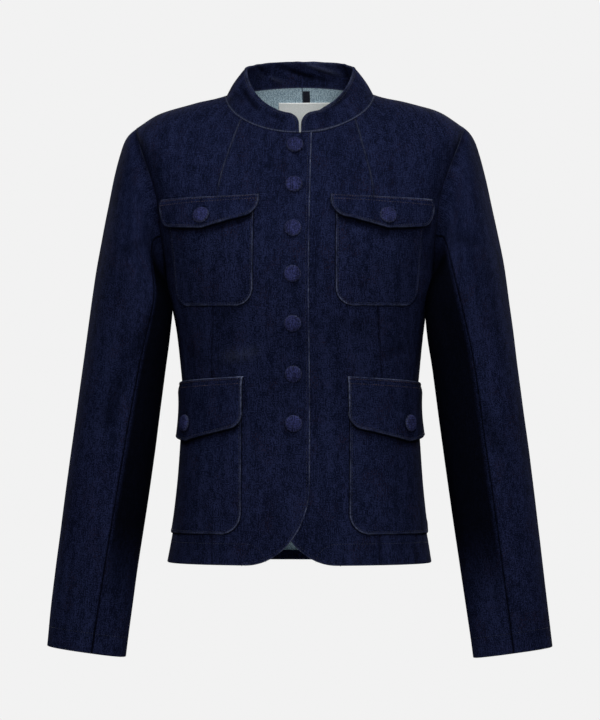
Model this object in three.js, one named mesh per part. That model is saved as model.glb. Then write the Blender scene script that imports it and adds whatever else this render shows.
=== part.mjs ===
// A short fitted denim blazer with a stand collar, seven covered buttons, four flapped patch pockets
// and two-piece sleeves. It keeps the hollow form that it has when it is worn.
// Millimetres, +Z up, the front faces -Y, the wearer's left is +X.
// The origin lies midway between the two points where the shoulder seams meet the collar.
import * as THREE from "three";

// Driving dimensions
const CLOTH = 1.6;
const HEM_CLOTH = 3.0;
const COLLAR_CLOTH = 3.0;
const FLAP_CLOTH = 2.4;
const TRIM_CLOTH = 1.0;
const SEAM_GAP = 0.3;
const NECK_POINT_HEIGHT = 563.5;
const HEM_FOLD = 12;
const HEM_FOLD_END = 14.5;
const CUFF_FOLD = 25;
const BUTTON_RADIUS = 10.2;
const BUTTON_HEIGHT = 6;
const BUTTON_LINE_X = -1.8;
const BUTTON_HEIGHTS = [502, 455, 402.5, 349, 291, 231, 172];

// Front closing: the wearer's right front laps over the left one, each past the centre line.
const LAP_OVER = 17.5;
const LAP_UNDER = 27;
const LAP_SINK = 2.1;
const LAP_BLEND_FROM = 21;
const LAP_BLEND_TO = 60;
const CORNER_WIDE = 77;
const CORNER_TALL = 100;

const DEGREE = Math.PI / 180;

// Rings of the body, from the hem to the neck seam. level is the place along the side of the body.
// wide, front and back are the half width and the two depths; sideZ, frontZ and backZ are heights
// over the hem; round is the power of the oval; bend shapes the rise from side to front.
const BODY_RINGS = table(
  "level wide front back sideZ frontZ backZ round bend",
  [0, 158.5, 108, 115, 5, 4, 4, 2.3, 2],
  [60, 149.5, 106, 110, 62, 62, 62, 2.3, 2],
  [120, 143, 101, 100, 120, 120, 120, 2.25, 2],
  [185, 140, 98, 93, 185, 185, 185, 2.25, 2],
  [240, 143.8, 105, 94, 240, 240, 240, 2.25, 2],
  [300, 150.8, 118, 102, 300, 300, 300, 2.35, 2],
  [352, 160, 121, 109, 352, 350, 352, 2.5, 2],
  [400, 167.5, 116, 111, 400, 392, 398, 2.8, 2],
  [450, 175, 106, 108, 448, 424, 444, 2.9, 2],
  [495, 188, 96, 100, 490, 450, 480, 2.7, 2],
  [530, 195, 88, 90, 526.5, 470, 508, 2.5, 2],
  [565, 167, 79, 79, 544, 487, 530, 2.3, 1.9],
  [600, 129, 69.5, 65, 555, 503, 554, 2.15, 1.6],
  [640, 88.7, 60, 48, 563.5, 518.4, 577.5, 2, 1.15],
);
const NECK_LEVEL = 640;
const UNDERARM_LEVEL = 352;
const SHOULDER_TIP_LEVEL = 530;

// Free edge of the collar, as one more ring of the same kind
const COLLAR_EDGE = {
  wide: 64.5,
  front: 48,
  back: 38,
  sideZ: 599,
  frontZ: 541.5,
  backZ: 608,
  round: 2,
  bend: 1.15,
};
const COLLAR_OPEN_X = 3.4;
const COLLAR_OPEN_HALF = 1.9;
const COLLAR_END_RADIUS = 13;
const COLLAR_BULGE = 1.6;

// Armhole oval on the body: half height in levels, and how far round it reaches to front and back
const ARMHOLE_FRONT = 17.8 * DEGREE;
const ARMHOLE_BACK = 16.5 * DEGREE;
const SIDE_SEAM = 2 * DEGREE;
const SHOULDER_SEAM = 4 * DEGREE;

// Rings of the sleeve after the armhole. along is the place down the outer arm; out and in are the
// points of the ring furthest from the body and nearest to it; deep is half its depth.
const SLEEVE_RINGS = table(
  "along outX outY outZ inX inY inZ deep round",
  [14, 204.5, 2, 516.5, 161.6, -1, 351.2, 54, 2.1],
  [30, 212.5, 2, 502, 161.9, -4, 347, 55.5, 2.15],
  [60, 221.5, 3, 472, 160.6, -12, 340, 57, 2.2],
  [98, 230, 4, 433, 157.2, -23, 330, 58, 2.25],
  [138, 238, 4, 395, 153.6, -31, 316, 58, 2.3],
  [176, 245, 4, 358, 152.2, -33, 299, 57.5, 2.3],
  [226, 252.5, 2, 307, 154.4, -29, 272, 56, 2.3],
  [288, 260.5, -2, 247, 160, -22, 234, 52, 2.25],
  [386, 273.2, -8, 150, 172.8, -20, 137, 47.5, 2.25],
  [488, 286, -15, 49, 187.3, -24, 36, 43, 2.25],
  [595, 298.5, -22, -57, 202.8, -28, -70, 38, 2.2],
  [634, 302.5, -24, -95, 208, -29, -108, 36, 2.2],
);
const SLEEVE_LENGTH = 634;
const TURN_STEP = 12;

// Where the two seams of each sleeve run, as turns round it, from the armhole to the cuff
const SLEEVE_SEAMS = table(
  "along leftFore rightFore elbow",
  [0, 120, 120, 252],
  [60, 113, 123, 254],
  [140, 101, 127, 257],
  [260, 90, 117, 262],
  [390, 88, 109, 266],
  [634, 87, 102, 268],
);
const FOREARM_SEAM = SLEEVE_SEAMS[0].leftFore;
const ELBOW_SEAM = SLEEVE_SEAMS[0].elbow;

// Princess seam: distance from the centre line against height
const PRINCESS = table(
  "height across",
  [0, 100],
  [150, 100],
  [220, 101.5],
  [300, 98],
  [380, 96.5],
  [450, 92],
  [510, 76],
  [540, 66],
);

// Pockets: start is the inner edge's distance from the centre line
const UPPER_POCKET = {
  start: 48,
  width: 113,
  bottom: 311,
  top: 430,
  slope: -0.035,
  corner: 22,
  belly: 1.8,
};
const LOWER_POCKET = {
  start: 63,
  width: 158,
  bottom: 40,
  top: 213,
  slope: -0.06,
  corner: 26,
  belly: 1,
};
const UPPER_FLAP = {
  start: 42,
  width: 127,
  top: 442.5,
  slope: -0.035,
  innerDepth: 25,
  outerDepth: 32,
  tipDepth: 39,
  tipAt: 0.52,
  corner: 17,
  buttonDepth: 0.64,
  rise: 4.2,
  lift: 11,
  endLift: 6,
};
const LOWER_FLAP = {
  start: 61,
  width: 163,
  top: 228.5,
  slope: -0.06,
  innerDepth: 60,
  outerDepth: 60,
  tipDepth: 74,
  tipAt: 0.49,
  corner: 15,
  buttonDepth: 0.7,
  rise: 3.4,
  lift: 6.5,
  endLift: 4.5,
};
const POCKET_CLEAR = 0.5;
const FLAP_ROOT = 0.45;
const FLAP_RISE_SHARE = 0.2;
const SEAT_CLEAR = 0.7;

// Label and seam tape inside the back
const LABEL = { middle: 2.5, halfWidth: 32, top: 561, bottom: 521 };
const TAPE = { from: 0.6, width: 8.4, bottom: 20, top: 560 };

// Colours, roughness and metalness
const DENIM = new THREE.MeshStandardMaterial({
  color: 0x161b33,
  roughness: 0.92,
  metalness: 0,
});
const BUTTON_DENIM = new THREE.MeshStandardMaterial({
  color: 0x1a2040,
  roughness: 0.88,
  metalness: 0,
});
const LABEL_COTTON = new THREE.MeshStandardMaterial({
  color: 0xd6d6cc,
  roughness: 0.85,
  metalness: 0,
});
const TAPE_COTTON = new THREE.MeshStandardMaterial({
  color: 0x0b0d18,
  roughness: 0.8,
  metalness: 0,
});

// Rows of numbers as objects with named columns
function table(columns, ...rows) {
  const names = columns.split(" ");
  return rows.map((row) =>
    Object.fromEntries(names.map((name, i) => [name, row[i]])),
  );
}

const mix = (a, b, t) => a + (b - a) * t;
const clamp = (value, low, high) => Math.min(high, Math.max(low, value));

function smooth(low, high, value) {
  const t = clamp((value - low) / (high - low), 0, 1);
  return t * t * (3 - 2 * t);
}

// A smooth curve through values at uneven knots
function curveThrough(knots, values) {
  const last = knots.length - 1;
  const slope = (i) => {
    const low = Math.max(i - 1, 0);
    const high = Math.min(i + 1, last);
    return (values[high] - values[low]) / (knots[high] - knots[low]);
  };
  const slopes = knots.map((_, i) => slope(i));
  return (at) => {
    const found = knots.findIndex((knot) => knot > at);
    const i = clamp(found < 0 ? last - 1 : found - 1, 0, last - 1);
    const span = knots[i + 1] - knots[i];
    const t = (at - knots[i]) / span;
    const t2 = t * t;
    const t3 = t2 * t;
    return (
      (2 * t3 - 3 * t2 + 1) * values[i] +
      (t3 - 2 * t2 + t) * span * slopes[i] +
      (3 * t2 - 2 * t3) * values[i + 1] +
      (t3 - t2) * span * slopes[i + 1]
    );
  };
}

// One curve for each column of a table, read at a place along its first column
function tracks(rows) {
  const [key, ...columns] = Object.keys(rows[0]);
  const knots = rows.map((row) => row[key]);
  const curves = columns.map((name) => [
    name,
    curveThrough(
      knots,
      rows.map((row) => row[name]),
    ),
  ]);
  return (at) =>
    Object.fromEntries(curves.map(([name, curve]) => [name, curve(at)]));
}

// The place between low and high where a rising function reaches a target
function solve(rising, target, low, high) {
  for (let step = 0; step < 26; step++) {
    const middle = (low + high) / 2;
    if (rising(middle) < target) low = middle;
    else high = middle;
  }
  return (low + high) / 2;
}

// Body surface: angle is 0 at the wearer's left side and -90 degrees at the front.
const bodyRing = tracks(BODY_RINGS);

function ringPoint(ring, angle) {
  const c = Math.cos(angle);
  const s = Math.sin(angle);
  const depth = s < 0 ? ring.front : ring.back;
  const endZ = s < 0 ? ring.frontZ : ring.backZ;
  const reach =
    (Math.abs(c / ring.wide) ** ring.round + Math.abs(s / depth) ** ring.round) **
    (-1 / ring.round);
  const share = Math.min(1, Math.abs(reach * s) / depth);
  const z = mix(ring.sideZ, endZ, share ** ring.bend);
  return new THREE.Vector3(reach * c, reach * s, z);
}

const bodyPoint = (angle, level) => ringPoint(bodyRing(level), angle);

// The outward normal of any surface whose two directions turn anticlockwise seen from outside
function surfaceNormal(surface, u, v, stepU, stepV, highV = Infinity) {
  const v1 = Math.min(v + stepV, highV);
  const alongU = surface(u + stepU, v).sub(surface(u - stepU, v));
  const alongV = surface(u, v1).sub(surface(u, v1 - 2 * stepV));
  return alongU.cross(alongV).normalize();
}

const bodyNormal = (angle, level) =>
  surfaceNormal(bodyPoint, angle, level, 0.5 * DEGREE, 1, NECK_LEVEL);

const FRONT = { low: -150 * DEGREE, high: 0 };
const BACK = { low: 0, high: 150 * DEGREE };

// Level of the body surface at a height, on the line at one angle
function levelAt(angle, height) {
  return solve((level) => bodyPoint(angle, level).z, height, 0, NECK_LEVEL);
}

// Angle on a level where the surface is at a distance x from the centre line
function angleOnLevel(x, level, side) {
  if (side === FRONT)
    return solve((a) => bodyPoint(a, level).x, x, side.low, side.high);
  return solve((a) => -bodyPoint(a, level).x, -x, side.low, side.high);
}

// Angle and level of the surface point at a distance x and a height
function placeAt(x, height, side) {
  const across = (angle) => bodyPoint(angle, levelAt(angle, height)).x;
  const angle =
    side === FRONT
      ? solve(across, x, side.low, side.high)
      : solve((a) => -across(a), -x, side.low, side.high);
  return { angle, level: levelAt(angle, height) };
}

// Angles at given arc distances round the body at one height, starting at a distance x on the front
function anglesAlong(x, height, distances) {
  const step = 2 * DEGREE;
  const arcs = [0];
  const angles = [placeAt(x, height, FRONT).angle];
  const longest = Math.max(1, ...distances);
  let previous = bodyPoint(angles[0], levelAt(angles[0], height));
  while (arcs.at(-1) < longest) {
    const angle = angles.at(-1) + step;
    const point = bodyPoint(angle, levelAt(angle, height));
    arcs.push(arcs.at(-1) + point.distanceTo(previous));
    angles.push(angle);
    previous = point;
  }
  return distances.map((distance) => {
    const i = clamp(arcs.findIndex((arc) => arc >= distance), 1, arcs.length - 1);
    const share = (distance - arcs[i - 1]) / (arcs[i] - arcs[i - 1]);
    return mix(angles[i - 1], angles[i], share);
  });
}

// A point and normal of the body surface, moved out by an amount
function bodySpot(angle, level, out = 0, thick = CLOTH) {
  const normal = bodyNormal(angle, level);
  const point = bodyPoint(angle, level).addScaledVector(normal, out);
  return { point, normal, thick };
}

// Cloth walls: a grid of spots, each with a point, an outward normal and a thickness
function makeGrid(rows, columns, spot) {
  return rows.map((v, row) => columns.map((u, column) => spot(u, v, row, column)));
}

const mirrorPoint = (point) => new THREE.Vector3(-point.x, point.y, point.z);

function mirrorGrid(grid) {
  return grid.map((row) =>
    row
      .map(({ point, normal, thick }) => ({
        point: mirrorPoint(point),
        normal: mirrorPoint(normal),
        thick,
      }))
      .reverse(),
  );
}

// Moves the edge of a grid inwards along the cloth, so that neighbours stay a seam gap apart
function insetEdges(grid, by = SEAM_GAP / 2) {
  const rows = grid.length - 1;
  const columns = grid[0].length - 1;
  const moves = [];
  const edgeMove = (spot, before, after, inside) => {
    const tangent = after.point.clone().sub(before.point).normalize();
    const inward = spot.normal.clone().cross(tangent);
    if (inward.dot(inside.point.clone().sub(spot.point)) < 0) inward.negate();
    return inward.normalize().multiplyScalar(by);
  };
  grid.forEach((row, r) =>
    row.forEach((spot, c) => {
      const up = grid[Math.min(r + 1, rows)][c];
      const down = grid[Math.max(r - 1, 0)][c];
      const right = row[Math.min(c + 1, columns)];
      const left = row[Math.max(c - 1, 0)];
      if (c === 0) moves.push([spot, edgeMove(spot, down, up, right)]);
      if (c === columns) moves.push([spot, edgeMove(spot, down, up, left)]);
      if (r === 0) moves.push([spot, edgeMove(spot, left, right, up)]);
      if (r === rows) moves.push([spot, edgeMove(spot, left, right, down)]);
    }),
  );
  moves.forEach(([spot, move]) => spot.point.add(move));
  return grid;
}

// A closed solid between the grid's outer points and the points a thickness further in
function wallGeometry(grid) {
  const rows = grid.length;
  const columns = grid[0].length;
  const positions = [];
  const faces = [];
  const push = (point) => positions.push(point.x, point.y, point.z);
  grid.flat().forEach((spot) => push(spot.point));
  grid
    .flat()
    .forEach((spot) => push(spot.point.clone().addScaledVector(spot.normal, -spot.thick)));
  const outer = (r, c) => r * columns + c;
  const inner = (r, c) => rows * columns + outer(r, c);
  const quad = (a, b, c, d) => faces.push(a, b, c, a, c, d);
  for (let r = 0; r + 1 < rows; r++) {
    for (let c = 0; c + 1 < columns; c++) {
      quad(outer(r, c), outer(r, c + 1), outer(r + 1, c + 1), outer(r + 1, c));
      quad(inner(r, c), inner(r + 1, c), inner(r + 1, c + 1), inner(r, c + 1));
    }
    quad(inner(r, 0), outer(r, 0), outer(r + 1, 0), inner(r + 1, 0));
    const last = columns - 1;
    quad(outer(r, last), inner(r, last), inner(r + 1, last), outer(r + 1, last));
  }
  for (let c = 0; c + 1 < columns; c++) {
    const last = rows - 1;
    quad(inner(0, c), inner(0, c + 1), outer(0, c + 1), outer(0, c));
    quad(outer(last, c), outer(last, c + 1), inner(last, c + 1), inner(last, c));
  }
  const geometry = new THREE.BufferGeometry();
  geometry.setAttribute("position", new THREE.Float32BufferAttribute(positions, 3));
  geometry.setIndex(faces);
  geometry.computeVertexNormals();
  return geometry;
}

const spread = (count) => Array.from({ length: count + 1 }, (_, i) => i / count);

// Hem fold: the cloth is double below the fold line
const hemThickness = (level) =>
  mix(HEM_CLOTH, CLOTH, smooth(HEM_FOLD, HEM_FOLD_END, level));

// Levels of the rows below the underarm, with two close rows at the hem fold
const LOWER_LEVELS = [
  0,
  HEM_FOLD,
  HEM_FOLD_END,
  38,
  68,
  ...spread(9).map((share) => mix(CORNER_TALL, UNDERARM_LEVEL, share)),
];
const CORNER_LEVELS = [1.2, 4.5, 9, 22, 30, 52, 84];

const princessAcross = curveThrough(
  PRINCESS.map((row) => row.height),
  PRINCESS.map((row) => row.across),
);

function princessAngle(level) {
  const off = (angle) => {
    const point = bodyPoint(angle, level);
    return point.x - princessAcross(Math.min(point.z, PRINCESS.at(-1).height));
  };
  return solve(off, 0, -90 * DEGREE, -5 * DEGREE);
}

// Armhole oval: turn is 0 at the shoulder seam, 90 at the front, 180 at the underarm, 270 at the back
function armholePlace(turn) {
  const t = turn * DEGREE;
  const middle = (SHOULDER_TIP_LEVEL + UNDERARM_LEVEL) / 2;
  const half = (SHOULDER_TIP_LEVEL - UNDERARM_LEVEL) / 2;
  const rise = (1 + Math.cos(t)) / 2;
  const seam = mix(SIDE_SEAM, SHOULDER_SEAM, rise);
  const reach = Math.sin(t) > 0 ? -ARMHOLE_FRONT : ARMHOLE_BACK;
  return {
    angle: seam + reach * Math.abs(Math.sin(t)),
    level: middle + half * Math.cos(t),
  };
}

// Columns of the centre front, and the steps of the side front and the back along the neck seam
const FRONT_COLUMNS = 7;
const SIDE_NECK_STEPS = 4;
const BACK_NECK_STEPS = 6;

// Centre front: from the free edge at the lap to the princess seam, with a rounded lower corner
function centreFrontGrid(lap, sink) {
  const lowerRows = [...LOWER_LEVELS, ...CORNER_LEVELS].sort((a, b) => a - b);
  const steps = 180 / TURN_STEP - SIDE_NECK_STEPS;
  const upperRows = spread(steps).map((share) => mix(UNDERARM_LEVEL, NECK_LEVEL, share)).slice(1);
  const edgeAcross = (level) => {
    const down = clamp((CORNER_TALL - level) / CORNER_TALL, 0, 1);
    return -lap + CORNER_WIDE * (1 - Math.sqrt(1 - down * down));
  };
  return makeGrid([...lowerRows, ...upperRows], spread(FRONT_COLUMNS), (u, level) => {
    const free = angleOnLevel(edgeAcross(level), level, FRONT);
    const angle = mix(free, princessAngle(level), u);
    const x = bodyPoint(angle, level).x;
    const down = sink * (1 - smooth(LAP_BLEND_FROM, LAP_BLEND_TO, x));
    return bodySpot(angle, level, -down, hemThickness(level));
  });
}

// A panel whose outer side runs up the side seam and then round the armhole to the shoulder seam
function armholePanelGrid({ turns, innerEdge, sideAngle, columns }) {
  const rows = [
    ...LOWER_LEVELS.slice(0, -1).map((level) => ({ level })),
    ...turns.map((turn) => ({ turn })),
  ];
  return makeGrid(rows, columns, (u, row) => {
    const outer =
      row.turn === undefined
        ? { angle: sideAngle, level: row.level }
        : armholePlace(row.turn);
    const climb =
      row.turn === undefined
        ? null
        : (row.turn - turns[0]) / (turns.at(-1) - turns[0]);
    const inner = innerEdge(row.level, climb);
    const angle = mix(inner.angle, outer.angle, u);
    const level = mix(inner.level, outer.level, u);
    return bodySpot(angle, level, 0, hemThickness(level));
  });
}

// An edge that follows a seam up to the neck, and then the neck seam to the shoulder seam
function seamThenNeck(seamAngle, cornerShare) {
  return (level, climb) => {
    if (climb === null) return { angle: seamAngle(level), level };
    if (climb <= cornerShare) {
      const up = mix(UNDERARM_LEVEL, NECK_LEVEL, climb / cornerShare);
      return { angle: seamAngle(up), level: up };
    }
    const round = (climb - cornerShare) / (1 - cornerShare);
    return {
      angle: mix(seamAngle(NECK_LEVEL), SHOULDER_SEAM, round),
      level: NECK_LEVEL,
    };
  };
}

function turnsBetween(from, to) {
  const count = Math.abs(to - from) / TURN_STEP;
  return spread(count).map((share) => mix(from, to, share));
}

function sideFrontGrid() {
  return armholePanelGrid({
    turns: turnsBetween(180, 0),
    innerEdge: seamThenNeck(princessAngle, 1 - (SIDE_NECK_STEPS * TURN_STEP) / 180),
    sideAngle: SIDE_SEAM,
    columns: spread(6),
  });
}

// The back is laid out from its centre seam, and its columns are turned round to face outwards
function backGrid() {
  const grid = armholePanelGrid({
    turns: turnsBetween(180, 360),
    innerEdge: seamThenNeck(() => 90 * DEGREE, 1 - (BACK_NECK_STEPS * TURN_STEP) / 180),
    sideAngle: SIDE_SEAM,
    columns: spread(10),
  });
  return grid.map((row) => row.reverse());
}

// Sleeve surface: turn as on the armhole, along from 0 at the armhole to the cuff
const sleeveRing = tracks(SLEEVE_RINGS);
const SLEEVE_KNOTS = [0, ...SLEEVE_RINGS.map((row) => row.along)];

function sleeveRingPoint(ring, turn) {
  const outside = new THREE.Vector3(ring.outX, ring.outY, ring.outZ);
  const inside = new THREE.Vector3(ring.inX, ring.inY, ring.inZ);
  const middle = outside.clone().add(inside).multiplyScalar(0.5);
  const across = outside.clone().sub(inside).multiplyScalar(0.5);
  const c = Math.cos(turn);
  const s = Math.sin(turn);
  const reach =
    (Math.abs(c) ** ring.round + Math.abs(s) ** ring.round) ** (-1 / ring.round);
  return middle
    .addScaledVector(across, reach * c)
    .add(new THREE.Vector3(0, -ring.deep * reach * s, 0));
}

const sleeveSeams = tracks(SLEEVE_SEAMS);

// A turn on the armhole, moved with the two seams that it lies between
function turnAlong(turn, along, side) {
  const { elbow, ...fore } = sleeveSeams(clamp(along, 0, SLEEVE_LENGTH));
  const forearm = fore[side + "Fore"];
  if (turn > FOREARM_SEAM) {
    const share = (turn - FOREARM_SEAM) / (ELBOW_SEAM - FOREARM_SEAM);
    return mix(forearm, elbow, share) * DEGREE;
  }
  const share = (turn - (ELBOW_SEAM - 360)) / (FOREARM_SEAM - (ELBOW_SEAM - 360));
  return mix(elbow - 360, forearm, share) * DEGREE;
}

function sleevePoint(armTurn, along, side) {
  const turn = turnAlong(armTurn, along, side);
  if (along >= SLEEVE_KNOTS[2]) return sleeveRingPoint(sleeveRing(along), turn);
  const { angle, level } = armholePlace(armTurn);
  const points = [
    bodyPoint(angle, level),
    ...SLEEVE_RINGS.slice(0, 3).map((ring) => sleeveRingPoint(ring, turn)),
  ];
  const coordinate = (axis) =>
    curveThrough(
      SLEEVE_KNOTS.slice(0, 4),
      points.map((point) => point[axis]),
    )(along);
  return new THREE.Vector3(coordinate("x"), coordinate("y"), coordinate("z"));
}

// At the armhole the sleeve's edge turns with the body's edge, so that the two edges don't cross
function sleeveNormal(turn, along, side) {
  const at = Math.max(along, 0.6);
  const surface = (u, v) => sleevePoint(u, v, side);
  const own = surfaceNormal(surface, turn, at, 2, 0.5, SLEEVE_LENGTH);
  if (along > 0) return own;
  const { angle, level } = armholePlace(turn);
  const body = bodyNormal(angle, level);
  const share = mix(0.5, 1, smooth(0.2, 0.75, own.dot(body)));
  return own.multiplyScalar(1 - share).addScaledVector(body, share).normalize();
}

const SLEEVE_ROWS = [
  0, 7, 16, 30, 50, 75, 105, 140, 180, 225, 280, 340, 400, 460, 520, 570,
  SLEEVE_LENGTH - CUFF_FOLD - 2.5,
  SLEEVE_LENGTH - CUFF_FOLD,
  SLEEVE_LENGTH,
];

const cuffThickness = (along) =>
  mix(CLOTH, HEM_CLOTH, smooth(0, 2.5, along - (SLEEVE_LENGTH - CUFF_FOLD - 2.5)));

function sleeveGrid(fromTurn, toTurn, side) {
  const grid = makeGrid(SLEEVE_ROWS, turnsBetween(fromTurn, toTurn), (turn, along) => ({
    point: sleevePoint(turn, along, side),
    normal: sleeveNormal(turn, along, side),
    thick: cuffThickness(along),
  }));
  return side === "left" ? insetEdges(grid) : mirrorGrid(insetEdges(grid));
}

// Collar: a band from the neck seam to its free edge, with rounded front ends
function collarPoint(angle, share) {
  const base = bodyRing(NECK_LEVEL);
  const ring = Object.fromEntries(
    Object.keys(COLLAR_EDGE).map((key) => [key, mix(base[key], COLLAR_EDGE[key], share)]),
  );
  const bulge = COLLAR_BULGE * Math.sin(Math.PI * share);
  ring.wide += bulge;
  ring.front += bulge;
  ring.back += bulge;
  return ringPoint(ring, angle);
}

// Angles of the neck seam's points on the left half, shared by the collar and the panels under it
function neckAngles() {
  const free = angleOnLevel(-LAP_OVER, NECK_LEVEL, FRONT);
  const princess = princessAngle(NECK_LEVEL);
  const between = (from, to, count) => spread(count).map((share) => mix(from, to, share));
  return [
    ...between(free, princess, FRONT_COLUMNS),
    ...between(princess, SHOULDER_SEAM, SIDE_NECK_STEPS).slice(1),
    ...between(SHOULDER_SEAM, 90 * DEGREE, BACK_NECK_STEPS).slice(1),
  ];
}

// Columns of one half of the collar, close together at its rounded front end
function collarHalf(openX) {
  const open = angleOnLevel(openX, NECK_LEVEL, FRONT);
  const ends = [0, 1.2, 4.5, 9].map((step) => open + step * DEGREE);
  return [...ends, ...neckAngles().filter((angle) => angle > open + 12 * DEGREE)];
}

function collarGrid() {
  const left = collarHalf(COLLAR_OPEN_X + COLLAR_OPEN_HALF);
  const right = collarHalf(-COLLAR_OPEN_X + COLLAR_OPEN_HALF).map((a) => 180 * DEGREE - a);
  const columns = [...left, ...right.reverse().slice(1)];
  return makeGrid(spread(3), columns, (angle, v) => {
    const end = angle < 90 * DEGREE ? columns[0] : columns.at(-1);
    const distance = collarPoint(angle, 0.5).distanceTo(collarPoint(end, 0.5));
    const round = clamp(1 - distance / COLLAR_END_RADIUS, 0, 1);
    const drop = COLLAR_END_RADIUS * (1 - Math.sqrt(1 - round * round));
    const height = collarPoint(angle, 1).distanceTo(collarPoint(angle, 0));
    const share = v * (1 - drop / height);
    return {
      point: collarPoint(angle, share),
      normal: surfaceNormal(collarPoint, angle, share, 0.5 * DEGREE, 0.02, 1),
      thick: COLLAR_CLOTH,
    };
  });
}

// Pocket bag: a wall that lies on the fronts, sewn down at its edges, with a slight belly.
// v runs from 0 to 1 over the rounded corners and from 1 to 2 up to the sloping mouth.
function pocketSpot(pocket, u, v) {
  const dip = clamp(1 - v, 0, 1);
  const cut = pocket.corner * (1 - Math.sqrt(1 - dip * dip));
  const distance = mix(cut, pocket.width - cut, u);
  const mouth = pocket.top + pocket.slope * distance;
  const from = pocket.bottom + pocket.corner;
  const height = v < 1 ? pocket.bottom + v * pocket.corner : mix(from, mouth, v - 1);
  const [angle] = anglesAlong(pocket.start, height, [distance]);
  const edge = Math.min(distance, pocket.width - distance) / (pocket.width / 2);
  const rise = smooth(0, 0.5, (height - pocket.bottom) / (mouth - pocket.bottom));
  const belly = pocket.belly * smooth(0, 0.6, edge) * rise;
  return bodySpot(angle, levelAt(angle, height), POCKET_CLEAR + CLOTH + belly);
}

function pocketGrid(pocket, columns, rowCount) {
  const upper = spread(rowCount).map((share) => 1 + share);
  const rows = [0, 0.08, 0.3, 0.62, ...upper];
  return makeGrid(rows, spread(columns), (u, v) => pocketSpot(pocket, u, v));
}

// Flap: sewn at its top edge, lifting off the pocket towards its pointed lower edge
function flapSpot(flap, u, v) {
  const distance = u * flap.width;
  const end = Math.min(distance, flap.width - distance);
  const toTip = u < flap.tipAt ? u / flap.tipAt : (1 - u) / (1 - flap.tipAt);
  const endDepth = u < flap.tipAt ? flap.innerDepth : flap.outerDepth;
  const round = clamp(1 - end / flap.corner, 0, 1);
  const cut = flap.corner * (1 - Math.sqrt(1 - round * round));
  const depth = mix(endDepth, flap.tipDepth, toTip) - cut;
  const top = flap.top + flap.slope * distance;
  const height = top - v * depth;
  const [angle] = anglesAlong(flap.start, height, [distance]);
  const root = mix(FLAP_ROOT, flap.rise, smooth(0, FLAP_RISE_SHARE, v));
  const lift = mix(flap.endLift, flap.lift, Math.sqrt(toTip)) - flap.rise;
  const out = root + Math.max(0, lift) * smooth(0.1, 1.1, v);
  return bodySpot(angle, levelAt(angle, height), out + FLAP_CLOTH, FLAP_CLOTH);
}

function flapGrid(flap, columns) {
  const ends = [0, 0.25, 0.6].map((share) => (share * flap.corner) / flap.width);
  const from = flap.corner / flap.width;
  const middle = spread(columns).map((share) => {
    const low = share < 0.5;
    return low ? mix(from, flap.tipAt, share * 2) : mix(flap.tipAt, 1 - from, share * 2 - 1);
  });
  const across = [...ends, ...middle, ...ends.map((end) => 1 - end).reverse()];
  const down = [1, 0.8, 0.55, 0.32, 0.2, 0.1, 0];
  return makeGrid(down, across, (u, v) => flapSpot(flap, u, v));
}

// Covered button: a low dome over a flat back
function buttonGeometry() {
  const profile = [
    [0, 0],
    [0.9, 0],
    [1, 0.3],
    [0.92, 0.63],
    [0.62, 0.89],
    [0, 1],
  ].map(([r, h]) => new THREE.Vector2(r * BUTTON_RADIUS, h * BUTTON_HEIGHT));
  const geometry = new THREE.LatheGeometry(profile, 14);
  geometry.rotateX(90 * DEGREE);
  return geometry;
}

const blazer = new THREE.Group();
blazer.position.z = -NECK_POINT_HEIGHT;

function addPiece(name, geometry, material = DENIM) {
  const mesh = new THREE.Mesh(geometry, material);
  mesh.name = name;
  blazer.add(mesh);
  return mesh;
}

const addCloth = (name, grid, material) => addPiece(name, wallGeometry(grid), material);

function addPair(name, makeCloth, material) {
  addCloth("left_" + name, makeCloth(), material);
  addCloth("right_" + name, mirrorGrid(makeCloth()), material);
}

function addButton(name, { point, normal }, onLeft) {
  const button = addPiece(name, buttonGeometry(), BUTTON_DENIM);
  const place = onLeft ? point.clone() : mirrorPoint(point);
  const out = onLeft ? normal.clone() : mirrorPoint(normal);
  button.position.copy(place.addScaledVector(out, SEAT_CLEAR));
  button.quaternion.setFromUnitVectors(new THREE.Vector3(0, 0, 1), out);
}

// A flap's outer point and normal, found from the flap's own slope
function flapSeat(flap) {
  const surface = (u, v) => flapSpot(flap, u, v).point;
  const v = flap.buttonDepth;
  return {
    point: surface(flap.tipAt, v),
    normal: surfaceNormal((a, b) => surface(a, -b), flap.tipAt, -v, 0.05, 0.12),
  };
}

// Patch on the inner side of the back, between two distances from the centre seam
function insideBackGrid({ from, to, bottom, top, out, rows, columns }) {
  const heights = spread(rows).map((share) => mix(bottom, top, share));
  return makeGrid(heights, spread(columns), (u, height) => {
    const { angle, level } = placeAt(mix(to, from, u), height, BACK);
    return bodySpot(angle, level, -out, TRIM_CLOTH);
  });
}

// Tape inside the back beside its centre seam, made from the back panel's own points
function tapeGrid(panel, { from, width, bottom, top, out }) {
  return panel
    .filter((row) => row.at(-1).point.z > bottom && row.at(-1).point.z < top)
    .filter((row, i, rows) => i === 0 || row.at(-1).point.z > rows[i - 1].at(-1).point.z + 5)
    .map((row) => {
      const [away, seam] = row.slice(-2);
      const across = away.point.clone().sub(seam.point).normalize();
      return [from + width, from].map((distance) => ({
        point: seam.point
          .clone()
          .addScaledVector(across, distance)
          .addScaledVector(seam.normal, -out),
        normal: seam.normal,
        thick: TRIM_CLOTH,
      }));
    });
}

// Body
addCloth("left_centre_front", insetEdges(centreFrontGrid(LAP_UNDER, LAP_SINK)));
addCloth("right_centre_front", mirrorGrid(insetEdges(centreFrontGrid(LAP_OVER, 0))));
addPair("side_front", () => insetEdges(sideFrontGrid()));
addPair("back", () => insetEdges(backGrid()));
addCloth("collar", insetEdges(collarGrid()));

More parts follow.
